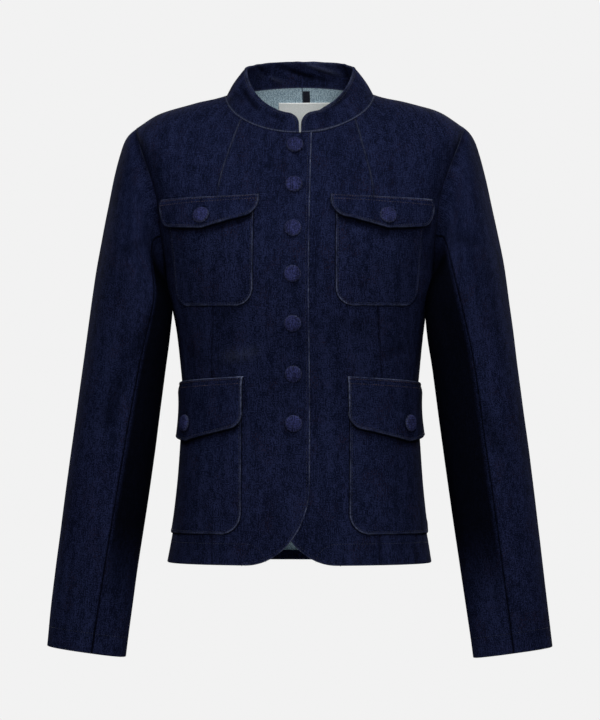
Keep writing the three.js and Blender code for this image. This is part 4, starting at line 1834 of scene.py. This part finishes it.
        def middle(level: Array) -> Array:
            """Give the centre back seam's angle."""
            return np.full(np.shape(level), 90 * DEGREE)

        panel = self.armhole_panel(name, (180, 360), middle, self.back_corner)
        turned = panel.mirrored(name)
        turned.points = turned.points * FLIP
        turned.normals = turned.normals * FLIP
        return turned

    def build(self) -> None:
        """Sew every panel of the body, with the stitches along its hem and front edges."""
        panels = [
            (self.centre_front("left_centre_front", self.lap_under, self.lap_sink), False),
            (self.centre_front("right_centre_front", self.lap_over, 0.0), True),
            (self.side_front("left_side_front"), False),
            (self.side_front("right_side_front"), True),
            (self.back("left_back"), False),
            (self.back("right_back"), True),
        ]
        hem_rows = []
        edge_rows = []
        holders = {"centre": "_side_front", "side": "_back"}
        for panel, mirror in panels:
            cut = panel.mirrored(panel.name) if mirror else panel
            half, kind = panel.name.split("_")[:2]
            held = half + holders[kind] if kind in holders else "collar"
            sewn = self.room.sew(cut, rests_on=(held,))
            hem_rows += sewn.rows((Side.HEM,), self.hem_stitches, {})
            if "centre" in panel.name:
                free = Side.END if mirror else Side.START
                edge_rows += sewn.rows((free,), STITCH_INSET, {Side.HEM: 0.5, Side.TOP: 3})
        self.room.sew_rows("stitches_hem", hem_rows)
        self.room.sew_rows("stitches_front_edges", edge_rows)


@dataclass
class Sleeves:
    """The two-piece sleeves."""

    room: Workroom
    body: BodyForm
    spacing: float = 4.0
    cuff_stitches: float = 24.0
    # where the sleeve's inner side, turned to the body, is coloured dark as painted shade
    painted_shade_turns: tuple[float, float] = (118.0, 225.0)
    painted_shade_ramps: tuple[float, float] = (8.0, 40.0)
    head_ease: float = 1.1
    ease_rise: float = 9.0
    ease_end: float = 38.0

    def panel(self, name: str, form: SleeveForm, turns: tuple[float, float]) -> Panel:
        """Build one piece of a sleeve on the wearer's left.

        Args:
            name: name of its solid.
            form: surface of the sleeve.
            turns: first and last turn on the armhole.

        Returns:
            The panel, with its first row at the armhole.
        """
        length = form.length
        fold = length - CUFF_FOLD
        places = edge_spaced(length, self.spacing)[0]
        places = np.unique(np.concatenate([places, [fold - 2.5, fold - PALE_EDGE, fold]]))[:, None]

        def row(shares: Array) -> Array:
            """Give the points of every ring at shares of the way round."""
            return form.point(blend(*turns, shares) + 0 * places, places)

        shares = shares_by_length(row, self.spacing)
        turn = blend(*turns, shares)
        along = places + np.zeros(turn.shape)
        normals = form.normal(turn, along)
        climb = np.clip(along / self.ease_rise, 0, 1)
        full = climb * (2 - climb) * smooth(self.ease_end, self.ease_rise, along) * self.head_ease
        full = full * smooth(0.1, 0.7, np.cos(turn * DEGREE))
        points = form.point(turn, along) + normals * full[..., None]
        middle = points.shape[1] // 2
        arcs = arcs_along(points, 1)
        arcs = arcs - arcs[:, middle : middle + 1]
        borders = {
            Side.HEM: Border(Edge.FLAT, worn=0.5, worn_above=505),
            Side.TOP: Border(Edge.FOLD, worn=0.35, pucker=0.45),
            # shade: painted shade lines along both sleeve seams
            Side.START: Border(pucker=0.3, shade=0.9),
            Side.END: Border(pucker=0.3, shade=0.9),
        }
        return Panel(
            name,
            points,
            normals,
            blend(CLOTH, HEM_CLOTH, smooth(0, 2.5, along - (fold - 2.5))),
            smooth(0, 22, along),
            np.stack([arcs, along], axis=-1),
            borders,
            reverse=smooth(fold, fold - PALE_EDGE, along),
            # painted shade on the side that turns to the body
            deep=self.painted_inner_shade(turn, along),
        )

    def painted_inner_shade(self, turn: Array, along: Array) -> Array:
        """Give the painted shade on the side of the sleeve that turns to the body, fading in below the
        armhole and out above the cuff.

        Args:
            turn: turns on the armhole, in degrees.
            along: distances along the sleeve.

        Returns:
            Shares from 0 to 1.
        """
        low, high = self.painted_shade_turns
        front, back = self.painted_shade_ramps
        ends = smooth(10, 70, along) * smooth(600, 470, along)
        return smooth(low, low + front, turn) * smooth(high, high - back, turn) * ends

    def build(self) -> None:
        """Sew both sleeves, with the stitches round their cuffs."""
        rows = []
        for half in ("left", "right"):
            form = SleeveForm(self.body, half)
            cuts = {
                "_top_sleeve": (form.elbow_seam - 360, form.forearm_seam),
                "_under_sleeve": (form.forearm_seam, form.elbow_seam),
            }
            for ending, turns in cuts.items():
                panel = self.panel(half + ending, form, turns)
                if half == "right":
                    panel = panel.mirrored(panel.name)
                sewn = self.room.sew(panel, rests_on=(half + "_side_front", half + "_back"))
                rows += sewn.rows((Side.TOP,), self.cuff_stitches, {})
        self.room.sew_rows("stitches_cuffs", rows)


@dataclass
class Collar:
    """The stand collar with rounded ends that meet at the front."""

    room: Workroom
    form: CollarForm
    spacing: float = 3.2

    def panel(self) -> Panel:
        """Build the collar.

        Returns:
            The panel.
        """
        form = self.form
        body = form.body
        opening = form.open_x + form.open_half
        start = float(body.angle_on_level(opening, NECK_LEVEL))
        end = math.pi - float(body.angle_on_level(form.open_half - form.open_x, NECK_LEVEL))
        even = np.linspace(start, end, 400)
        middle = form.point(even, np.full(even.shape, 0.5))
        arcs = arcs_along(middle, 0)
        bends = form.end_radius * bend_shares(15)
        count = round((arcs[-1] - 2 * form.end_radius) / self.spacing)
        inside = np.linspace(form.end_radius, arcs[-1] - form.end_radius, count)[1:-1]
        places = np.concatenate([bends, inside, arcs[-1] - bends[::-1]])
        angle = np.interp(places, arcs, even)[None, :]
        ends = np.minimum(places, arcs[-1] - places)
        drop = form.end_radius * rounding(1 - ends / form.end_radius)
        base = form.point(angle[0], np.zeros(len(places)))
        top = form.point(angle[0], np.ones(len(places)))
        height = np.linalg.norm(top - base, axis=1)
        up = edge_spaced(height - drop, 2.6).T / height
        close = (form.open_half - form.closed_half) / form.neck_half_width
        close = close * (1 - up) * np.exp(-ends / form.close_reach)
        angle = angle + np.where(places < arcs[-1] / 2, -close, close)
        borders = {
            Side.HEM: Border(Edge.TURNED, worn=0.75, wear_width=0.85),
            # the top edge's wide pale band is partly wear and partly a painted highlight along the rolled
            # edge
            Side.TOP: Border(Edge.FOLD, worn=0.34, topstitched=True, pucker=0.5, wear_width=3.0),
            Side.START: Border(Edge.FOLD, worn=0.5, topstitched=True),
            Side.END: Border(Edge.FOLD, worn=0.5, topstitched=True),
        }
        seam = body.normal(angle, np.full(up.shape, NECK_LEVEL))
        lean = np.clip(1 - up * height / form.lean_reach, 0, 1)[..., None]
        return Panel(
            "collar",
            form.point(angle, up),
            unit(blend(form.normal(angle, up), seam, lean)),
            np.full(up.shape, COLLAR_CLOTH),
            smooth(0, 0.5, up) * 0.8,
            np.stack([places + np.zeros(up.shape), up * height], axis=-1),
            borders,
        )

    def build(self) -> None:
        """Sew the collar and the stitches round its free edge."""
        sewn = self.room.sew(self.panel(), rests_on=("left_back", "right_back"))
        rows = sewn.rows((Side.TOP, Side.START, Side.END), STITCH_INSET, {Side.HEM: 2})
        self.room.sew_rows("stitches_collar", rows)


@dataclass(frozen=True)
class Wrap:
    """Finds places on the body from a distance round it, starting at a distance x from the centre."""

    body: BodyForm
    start: float
    low: float
    high: float
    row: float = 4.0
    first_degree: int = -100
    last_degree: int = 40
    reach: tuple[int, int] = (-5, 190)

    def place(self, distance: Array, height: Array) -> tuple[Array, Array]:
        """Give angle and level at distances round the body and at heights.

        Args:
            distance: how far round from the start, along the cloth.
            height: height over the hem.

        Returns:
            The angle and the level of each place.
        """
        heights = np.arange(self.low, self.high + self.row, self.row)[:, None]
        angles = np.arange(self.first_degree, self.last_degree + 1.0)[None, :] * DEGREE
        points = self.body.point(angles, self.body.level_at(angles, heights))
        arcs = arcs_along(points, 1)
        table = []
        reach = np.arange(self.reach[0], self.reach[1] + 1.0)
        front = -self.first_degree
        for arc, line in zip(arcs, points):
            zero = np.interp(self.start, line[:front, 0], arc[:front])
            table.append(np.interp(zero + reach, arc, angles[0]))
        row = (height - self.low) / self.row
        angle = read_table(np.array(table), row, distance - reach[0])
        return angle, self.body.level_at(angle, height)


@dataclass(frozen=True)
class PocketCut:
    """Sizes of a patch pocket and its flap."""

    kind: str
    start: float
    width: float
    bottom: float
    top: float
    slope: float
    corner: float
    belly: float
    flap_start: float
    flap_width: float
    flap_top: float
    inner_depth: float
    outer_depth: float
    tip_depth: float
    tip_at: float
    flap_corner: float
    button_depth: float
    rise: float
    lift: float
    end_lift: float


UPPER_POCKET = PocketCut(
    "upper_pocket",
    start=48, width=113, bottom=311, top=430, slope=-0.035, corner=22, belly=1.8,
    flap_start=42, flap_width=127, flap_top=442.5, flap_corner=17, button_depth=0.64,
    inner_depth=25, outer_depth=32, tip_depth=39, tip_at=0.52,
    rise=4.2, lift=11, end_lift=6,
)
LOWER_POCKET = PocketCut(
    "lower_pocket",
    start=63, width=158, bottom=40, top=213, slope=-0.06, corner=26, belly=1,
    flap_start=61, flap_width=163, flap_top=228.5, flap_corner=15, button_depth=0.7,
    inner_depth=60, outer_depth=60, tip_depth=74, tip_at=0.49,
    rise=3.4, lift=6.5, end_lift=4.5,
)


@dataclass
class Pockets:
    """The four patch pockets, their flaps and the stitches that hold them."""

    room: Workroom
    body: BodyForm
    clear: float = 0.5
    flap_root: float = 0.45
    rise_share: float = 0.2
    spacing: float = 2.8
    grain_shift: float = 271.0

    def pocket(self, cut: PocketCut) -> Panel:
        """Build a pocket on the wearer's left.

        Args:
            cut: its sizes.

        Returns:
            The panel.
        """
        bends = bend_shares(16)
        tall = cut.top - cut.bottom - cut.corner
        upper = 1 + edge_spaced(tall, self.spacing)[0][len(EDGE_STEPS) :] / tall
        v = np.concatenate([bends, upper])[:, None]
        taken = cut.corner * rounding(1 - v)
        across = edge_spaced(cut.width - 2 * taken[:, 0], self.spacing)
        distance = taken + across
        mouth = cut.top + cut.slope * distance
        from_height = cut.bottom + cut.corner
        height = np.where(v < 1, cut.bottom + v * cut.corner, blend(from_height, mouth, v - 1))
        wrap = Wrap(self.body, cut.start, cut.bottom - 4, cut.top + 8)
        angle, level = wrap.place(distance, height)
        edge = np.minimum(distance, cut.width - distance) / (cut.width / 2)
        rise = smooth(0, 0.5, (height - cut.bottom) / (mouth - cut.bottom))
        out = self.clear + CLOTH + cut.belly * smooth(0, 0.6, edge) * rise
        seat = self.body.point(angle, level)
        normals = self.body.normal(angle, level)
        under = distance + cut.start - cut.flap_start
        flap_edge = self.flap_place(cut, under, np.ones(under.shape))["height"]
        # shade paints a dark line at the pocket's edges and walls, standing in for the shadow under them
        edge = {"topstitched": True, "wear_in": 1.7, "shade": 0.97, "shade_width": 1.1}
        inner = Border(Edge.FOLD, worn=0.55, pucker=0.3, wear_width=0.7, **edge)
        lower = Border(Edge.FOLD, worn=0.26, pucker=0.35, wear_width=0.9, **edge)
        outer = Border(Edge.FOLD, worn=0.14, pucker=0.25, **edge)
        return Panel(
            "left_" + cut.kind,
            seat + normals * out[..., None],
            normals,
            np.full(out.shape, CLOTH),
            self.body.calm(angle, level),
            np.stack([distance, height], axis=-1) + self.grain_shift,
            {Side.HEM: lower, Side.START: inner, Side.END: outer, Side.TOP: Border(Edge.FOLD)},
            seat=seat,
            # painted shadow: the pocket is coloured dark just under the flap's lower edge
            deep=0.8 * smooth(flap_edge - 7, flap_edge, height),
            lap=0.0,
        )

    def flap(self, cut: PocketCut) -> Panel:
        """Build a flap on the wearer's left.

        Args:
            cut: its sizes.

        Returns:
            The panel, with its lower edge in the first row.
        """
        bends = cut.flap_corner * bend_shares(15)
        count = math.ceil((cut.flap_width - 2 * cut.flap_corner) / self.spacing)
        inner = np.linspace(cut.flap_corner, cut.flap_width - cut.flap_corner, count)[1:-1]
        distance = np.concatenate([bends, inner, cut.flap_width - bends[::-1]])
        point = self.flap_place(cut, distance, None)
        wrap = Wrap(self.body, cut.flap_start, cut.flap_top - 100, cut.flap_top + 8)
        depth = point["depth"]
        down = edge_spaced(depth, 2.6).T[::-1] / depth
        distance = distance + np.zeros(down.shape)
        place = self.flap_place(cut, distance, down)
        angle, level = wrap.place(distance, place["height"])
        seat = self.body.point(angle, level)
        normals = self.body.normal(angle, level)
        out = place["out"] + FLAP_CLOTH
        # shade paints a dark line at the flap's edges and walls, standing in for the shadow under them
        edge = {"topstitched": True, "wear_in": 1.6, "shade": 0.97, "shade_width": 1.0}
        inner = Border(Edge.FOLD, worn=0.6, pucker=0.5, wear_width=0.8, **edge)
        lower = Border(Edge.FOLD, worn=0.26, pucker=0.7, wear_width=1.1, **edge)
        return Panel(
            "left_" + cut.kind + "_flap",
            seat + normals * out[..., None],
            normals,
            np.full(out.shape, FLAP_CLOTH),
            self.body.calm(angle, level),
            np.stack([distance, place["height"]], axis=-1) + 2 * self.grain_shift,
            {Side.HEM: lower, Side.START: inner, Side.END: lower, Side.TOP: FOLDED},
            seat=seat,
            lap=0.0,
        )

    def flap_place(self, cut: PocketCut, distance: Array, down: Array | None) -> dict[str, Array]:
        """Work out a flap's depth at distances along it, and its height and lift.

        Args:
            cut: its sizes.
            distance: distances along the flap.
            down: shares of the depth from the top, or none for the depth alone.

        Returns:
            The depth, and the height and lift where down is given.
        """
        u = distance / cut.flap_width
        end = np.minimum(distance, cut.flap_width - distance)
        inside = u < cut.tip_at
        to_tip = np.where(inside, u / cut.tip_at, (1 - u) / (1 - cut.tip_at))
        end_depth = np.where(inside, cut.inner_depth, cut.outer_depth)
        taken = cut.flap_corner * rounding(1 - end / cut.flap_corner)
        depth = blend(end_depth, cut.tip_depth, to_tip) - taken
        if down is None:
            return {"depth": depth}
        root = blend(self.flap_root, cut.rise, smooth(0, self.rise_share, down))
        lift = blend(cut.end_lift, cut.lift, np.sqrt(to_tip)) - cut.rise
        out = root + np.maximum(0, lift) * smooth(0.1, 1.1, down)
        height = cut.flap_top + cut.slope * distance - down * depth
        return {"depth": depth, "height": height, "out": out}

    def button_seat(self, cut: PocketCut) -> tuple[Array, Array, Array]:
        """Find a flap button's place on the flap, and on the body under it.

        Args:
            cut: sizes of the pocket and its flap.

        Returns:
            Its place, its normal and the body's point.
        """
        wrap = Wrap(self.body, cut.flap_start, cut.flap_top - 100, cut.flap_top + 8)

        def surface(u: Array, v: Array) -> Array:
            """Give the flap's outer point, with v falling to the tip.

            Args:
                u: shares of the way along the flap.
                v: minus shares of the way down.

            Returns:
                The points.
            """
            place = self.flap_place(cut, u * cut.flap_width, -v)
            angle, level = wrap.place(u * cut.flap_width, place["height"])
            out = (place["out"] + FLAP_CLOTH)[..., None]
            return self.body.point(angle, level) + self.body.normal(angle, level) * out

        u = np.array([cut.tip_at])
        v = np.array([-cut.button_depth])
        distance = u * cut.flap_width
        angle, level = wrap.place(distance, self.flap_place(cut, distance, -v)["height"])
        normal = surface_normal(surface, u, v, (0.05, 0.12))
        return surface(u, v)[0], normal[0], self.body.point(angle, level)[0]

    def build(self) -> None:
        """Sew the pockets and the flaps, with their rows of stitches."""
        rows = []
        top_rows = []
        sides = (Side.HEM, Side.START, Side.END)
        for cut in (UPPER_POCKET, LOWER_POCKET):
            pocket = self.pocket(cut)
            flap = self.flap(cut)
            for half in ("left", "right"):
                mirror = half == "right"
                name = half + "_" + cut.kind
                bag = pocket.mirrored(name) if mirror else pocket
                lid = flap.mirrored(name + "_flap") if mirror else flap
                sewn = self.room.sew(bag, rests_on=(half + "_side_front",))
                rows += sewn.rows(sides, STITCH_INSET, {Side.TOP: 3})
                sewn = self.room.sew(lid, rests_on=(half + "_side_front",))
                rows += sewn.rows(sides, STITCH_INSET, {Side.TOP: 3})
                for inset in (2.6, 8.2):
                    top_rows += sewn.rows((Side.TOP,), inset, {Side.START: 3, Side.END: 3})
        self.room.sew_rows("stitches_pockets", rows)
        self.room.sew_rows("stitches_flap_tops", top_rows, self.room.warm_thread)


@dataclass
class Buttons:
    """The covered buttons, low domes with the cloth gathered under their rims."""

    room: Workroom
    body: BodyForm
    pockets: Pockets
    radius: float = 10.2
    height: float = 6.0
    clear: float = 0.7
    line_x: float = -1.8
    heights: tuple = (502, 455, 402.5, 349, 291, 231, 172)
    segments: int = 56

    def profile(self) -> Array:
        """Draw the dome's outline from the middle of the back, round the rim, to the top.

        Returns:
            The radius and the height of each ring.
        """
        bend = np.linspace(-80, 90, 18) * DEGREE
        rim = np.stack([np.cos(bend) ** 0.62, 0.3 + 0.7 * np.sin(bend)], axis=1)
        rim[bend < 0, 1] = 0.3 + 0.3 * np.sin(bend[bend < 0])
        rim[-1, 0] = 0
        back = np.array([[0, 0.0], [0.45, 0.0]])
        return np.concatenate([back, rim]) * np.array([self.radius, self.height])

    def dome(self, name: str, place: Array, normal: Array, seed: int) -> None:
        """Make one button.

        Args:
            name: name of its solid.
            place: middle of its back.
            normal: direction that it faces.
            seed: makes its gathers differ from the others'.
        """
        profile = self.profile()
        turns = np.arange(self.segments) / self.segments * 2 * math.pi
        radius = profile[:, :1] + np.zeros(self.segments)
        rise = profile[:, 1:] + np.zeros(self.segments)
        rim = smooth(0.7, 1.0, radius / self.radius) * smooth(0.75, 0.25, rise / self.height)
        gather = 0.5 * np.sin(turns * 13 + seed) + 0.5 * np.sin(turns * 21 + 2 * seed)
        radius = radius * (1 + 0.016 * rim * gather)
        lean = 0.12 * np.cos(turns + seed) * smooth(0.2, 0.8, rise / self.height)
        rise = rise + lean
        up = Vector(normal.tolist())
        turn = np.array(up.to_track_quat("Z", "Y").to_matrix())
        local = np.stack([radius * np.cos(turns), radius * np.sin(turns), rise], axis=-1)
        points = local @ turn.T + place
        rings = len(profile)
        index = np.arange(rings * self.segments).reshape(rings, self.segments)
        after = np.roll(index, -1, axis=1)
        sides = [index[:-1], after[:-1], after[1:], index[1:]]
        faces = np.stack([side.ravel() for side in sides], axis=1)
        cloth = local[..., :2].reshape(-1, 2) + 40 * seed
        mesh = make_mesh(name, points.reshape(-1, 3), faces, cloth)
        worn = 0.3 * smooth(0.8, 1.0, radius / self.radius) * (0.5 + 0.5 * gather)
        store(mesh, "worn", np.clip(worn + 0.05, 0, 1))
        store(mesh, "reverse", np.zeros(worn.shape))
        # painted shadow: the underside of the rim is coloured dark, standing in for the button's contact
        # shadow
        store(mesh, "deep", 0.7 * rim)
        piece = new_object("cloth_" + name, mesh)
        mesh.materials.append(self.room.button)
        weld_poles(mesh)
        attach(piece, ROOT)
        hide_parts(name)
        LOG.info("%s: %d faces", piece.name, len(mesh.polygons))

    def build(self) -> None:
        """Make the seven front buttons and the four flap buttons."""
        heights = np.array(self.heights, float)
        angle = self.body.angle_at_height(np.full(heights.shape, self.line_x), heights, 1)
        level = self.body.level_at(angle, heights)
        points = self.body.point(angle, level)
        normals = self.body.normal(angle, level)
        rises = self.room.relief.rise(points, normals) * self.body.calm(angle, level)
        for number, (point, normal, rise) in enumerate(zip(points, normals, rises), start=1):
            place = point + normal * (rise + self.clear)
            self.dome("front_button_%d" % number, place, normal, number)
        for number, cut in enumerate((UPPER_POCKET, LOWER_POCKET)):
            point, normal, seat = self.pockets.button_seat(cut)
            for half, sign in (("left", np.ones(3)), ("right", FLIP)):
                rise = self.room.relief.rise((seat * sign)[None], (normal * sign)[None])[0]
                place = point * sign + normal * sign * (rise + self.clear)
                name = half + "_" + cut.kind.replace("pocket", "flap") + "_button"
                self.dome(name, place, normal * sign, 20 + number * 2 + int(sign[0]))


def weld_poles(mesh: bpy.types.Mesh) -> None:
    """Join the vertices that lie on each other in the middle of a round piece.

    Args:
        mesh: the mesh to mend.
    """
    work = bmesh.new()
    work.from_mesh(mesh)
    bmesh.ops.remove_doubles(work, verts=work.verts, dist=1e-6)
    bmesh.ops.recalc_face_normals(work, faces=work.faces)
    work.to_mesh(mesh)
    work.free()


@dataclass
class InsideBack:
    """The bare label and the seam tape inside the back."""

    room: Workroom
    body: BodyForm
    label_middle: float = 2.5
    label_half: float = 32.0
    label_top: float = 561.0
    label_bottom: float = 521.0
    tape_from: float = 0.6
    tape_width: float = 8.4
    tape_bottom: float = 20.0
    tape_top: float = 573.5
    tape_out: float = 2.0
    label_out: float = 4.0

    def patch(self, name: str, across: Array, heights: Array, out: float) -> Panel:
        """Build a patch on the inner side of the back.

        Args:
            name: name of its solid.
            across: distances from the centre seam, falling.
            heights: heights over the hem, rising.
            out: depth under the outside of the back.

        Returns:
            The panel.
        """
        x, height = np.meshgrid(across, heights)
        angle = self.body.angle_at_height(x, height, -1)
        level = self.body.level_at(angle, height)
        seat = self.body.point(angle, level)
        normals = self.body.normal(angle, level)
        edge = Border(Edge.FOLD)
        return Panel(
            name,
            seat - normals * out,
            normals,
            np.full(angle.shape, TRIM_CLOTH),
            self.body.calm(angle, level),
            np.stack([-x, height], axis=-1),
            dict.fromkeys(Side, edge),
            seat=seat,
            lap=0.0,
        )

    def build(self) -> None:
        """Sew the label and the tape."""
        heights = self.label_bottom + edge_spaced(self.label_top - self.label_bottom, 2.5)[0]
        across = self.label_middle + self.label_half - edge_spaced(2 * self.label_half, 2.5)[0]
        label = self.patch("neck_label", across, heights, self.label_out)
        sewn = self.room.sew(label, self.room.label, "label_cotton", ("left_back", "right_back"))
        rows = sewn.rows((Side.START, Side.END), 1.6, {Side.HEM: 1, Side.TOP: 1})
        self.room.sew_rows("stitches_label", rows, self.room.pale_thread, "label_cotton")
        heights = np.linspace(self.tape_bottom, self.tape_top, 160)
        edge = np.array([0, 0.35, 0.8, 2.0])
        far_edge = self.tape_width - edge[::-1]
        steps = np.concatenate([edge, [self.tape_width / 2], far_edge])
        across = self.tape_from + self.tape_width - steps
        tape = self.patch("back_seam_tape", across, heights, self.tape_out)
        self.room.sew(tape, self.room.tape, "seam_tape")


@dataclass
class Studio:
    """Camera, soft lights, white surroundings and a pale floor."""

    azimuth: float = 3.3
    distance: float = 6.7
    aim_height: float = 247.2
    lens: float = 279.17
    sensor: float = 36.0
    backdrop: float = 0.887
    surround: float = 0.08
    lamps: tuple = (
        ("key_lamp", (0.8, -1.15, 1.6), 0.5, 21),
        ("fill_lamp", (-0.9, -1.15, 1.4), 0.6, 13),
        ("front_lamp", (0.2, -2.1, 0.15), 0.7, 25),
        ("left_back_lamp", (1.8, 1.7, 1.0), 1.2, 46),
        ("right_back_lamp", (-1.8, 1.7, 1.0), 1.2, 40),
        ("back_lamp", (0.1, 2.2, 1.3), 1.0, 34),
    )
    floor_drop: float = 1.42
    floor_radius: float = 9.0
    floor_shown: float = 0.78

    def camera(self) -> None:
        """Place the camera at the photograph's viewing angle."""
        data = bpy.data.cameras.new("front_camera")
        data.sensor_fit = "VERTICAL"
        data.sensor_height = self.sensor
        data.lens = self.lens
        data.clip_end = 60
        seen = new_object("front_camera", data)
        turn = self.azimuth * DEGREE
        height = (self.aim_height - NECK_POINT_HEIGHT) * METRE
        seen.location = (self.distance * math.sin(turn), -self.distance * math.cos(turn), height)
        seen.rotation_euler = (math.pi / 2, 0, turn)
        bpy.context.scene.camera = seen

    def lamp(self, name: str, place: tuple, size: float, power: float) -> None:
        """Hang a soft square lamp that faces the blazer.

        Args:
            name: name of the lamp.
            place: where it hangs, in metres.
            size: side of the square.
            power: watts.
        """
        data = bpy.data.lights.new(name, "AREA")
        data.size = size
        data.energy = power
        lamp = new_object(name, data)
        lamp.location = place
        aim = Vector((0, 0, -0.25)) - Vector(place)
        lamp.rotation_euler = aim.to_track_quat("-Z", "Y").to_euler()

    def surroundings(self) -> None:
        """Give white surroundings that light the blazer less than they look."""
        world = bpy.data.worlds.new("white_studio")
        bpy.context.scene.world = world
        world.use_nodes = True
        tree = world.node_tree
        tree.nodes.clear()
        white = (1, 1, 1, 1)
        shown = add_node(tree, "ShaderNodeBackground", {}, {0: white, 1: self.backdrop})
        lit = add_node(tree, "ShaderNodeBackground", {}, {0: white, 1: self.surround})
        path = add_node(tree, "ShaderNodeLightPath", {}, {})
        inputs = {0: path.outputs["Is Camera Ray"], 1: lit.outputs[0], 2: shown.outputs[0]}
        both = add_node(tree, "ShaderNodeMixShader", {}, inputs)
        add_node(tree, "ShaderNodeOutputWorld", {}, {0: both.outputs[0]})

    def floor(self) -> None:
        """Lay a pale round floor well under the blazer."""
        count = 64
        turns = np.arange(count) / count * 2 * math.pi
        ring = np.stack([np.cos(turns), np.sin(turns)], axis=1) * self.floor_radius
        points = [(x, y, -self.floor_drop) for x, y in ring.tolist()]
        mesh = bpy.data.meshes.new("studio_floor")
        mesh.from_pydata(points, [], [list(range(count))])
        pale = ShaderTree("pale_floor", 0.8)
        pale.shader.inputs["Base Color"].default_value = (0.3, 0.3, 0.3, 1)
        inputs = {"Color": (1, 1, 1, 1), "Strength": self.floor_shown}
        shown = pale.signal("ShaderNodeEmission", {}, inputs)
        seen = pale.signal("ShaderNodeLightPath", {}, {}, "Is Camera Ray")
        inputs = {0: seen, 1: pale.shader.outputs[0], 2: shown}
        both = pale.signal("ShaderNodeMixShader", {}, inputs)
        pale.tree.links.new(both.socket, pale.tree.nodes["Material Output"].inputs[0])
        mesh.materials.append(pale.material)
        new_object("studio_floor", mesh)

    def build(self) -> None:
        """Set up the whole studio."""
        bpy.context.scene.view_settings.view_transform = "Standard"
        self.camera()
        for name, place, size, power in self.lamps:
            self.lamp(name, place, size, power)
        self.surroundings()
        self.floor()


FRONT_CREASES = (
    ((-150, 330), (-205, 230), 9, -2.2),
    ((158, 330), (212, 215), 9, -2.2),
    ((-200, 250), (-236, 150), 10, -2.0, 3),
    ((205, 205), (250, 120), 10, -1.9, -3),
    ((-172, 392), (-222, 372), 7, -1.6),
    ((176, 396), (224, 384), 7, -1.5),
    ((-42, 318), (-108, 286), 9, -1.3, 4),
    ((-34, 262), (-96, 250), 7, 1.3, -3),
    ((36, 300), (96, 268), 8, -1.3, -4),
    ((-140, 262), (-96, 236), 7, -1.4),
    ((138, 266), (92, 244), 7, -1.2),
    ((-74, 582), (-40, 540), 3.6, -4.2, 3),
    ((-60, 592), (-22, 548), 3.2, 2.4),
    ((66, 578), (34, 544), 3.6, -3.6, -2),
    ((18, 552), (44, 532), 3.2, -2.4),
    ((-40, 545), (-12, 530), 3.2, -2.2),
    ((-84, 572), (-62, 552), 3, -2.4),
)
BACK_CREASES = (
    ((-38, 606), (56, 576), 3.4, 4.2, 2),
    ((-58, 596), (-4, 574), 3.0, -2.8),
    ((-8, 610), (56, 590), 3.0, -3.0),
    ((-58, 608), (-34, 580), 2.8, 3.0),
    ((50, 608), (60, 580), 2.8, 3.2),
    ((10, 586), (46, 574), 2.8, -2.4),
    ((-60, 470), (-10, 452), 10, -1.4, 4),
    ((-118, 262), (-44, 238), 9, -1.6, -4),
    ((112, 256), (38, 236), 9, -1.5, 4),
    ((-150, 372), (-92, 342), 9, -1.6),
    ((148, 376), (96, 350), 9, -1.5),
    ((-198, 262), (-246, 236), 7, -2.0),
    ((-202, 232), (-250, 214), 7, -1.8),
    ((200, 256), (250, 228), 7, -1.9),
    ((206, 226), (252, 206), 7, -1.7),
)
CREASES = (
    *(Crease(Face.FRONT, *sizes) for sizes in FRONT_CREASES),
    *(Crease(Face.BACK, *sizes) for sizes in BACK_CREASES),
)
SWELLS = (
    Swell((-152, -42, 322), (22, 34, 26), 3.4),
    Swell((156, -42, 338), (22, 34, 26), 3.4),
    Swell((-160, -8, 345), (30, 28, 12), 2.7),
    Swell((160, -8, 345), (30, 28, 12), 2.7),
)


def main() -> None:
    """Build the blazer piece by piece."""
    logging.basicConfig(level=logging.INFO, format="%(message)s")
    body = BodyForm()
    room = Workroom(Relief(CREASES, SWELLS))
    Studio().build()
    BodyPanels(room, body).build()
    Sleeves(room, body).build()
    Collar(room, CollarForm(body)).build()
    pockets = Pockets(room, body)
    pockets.build()
    Buttons(room, body, pockets).build()
    InsideBack(room, body).build()


if __name__ == "__main__":
    main()
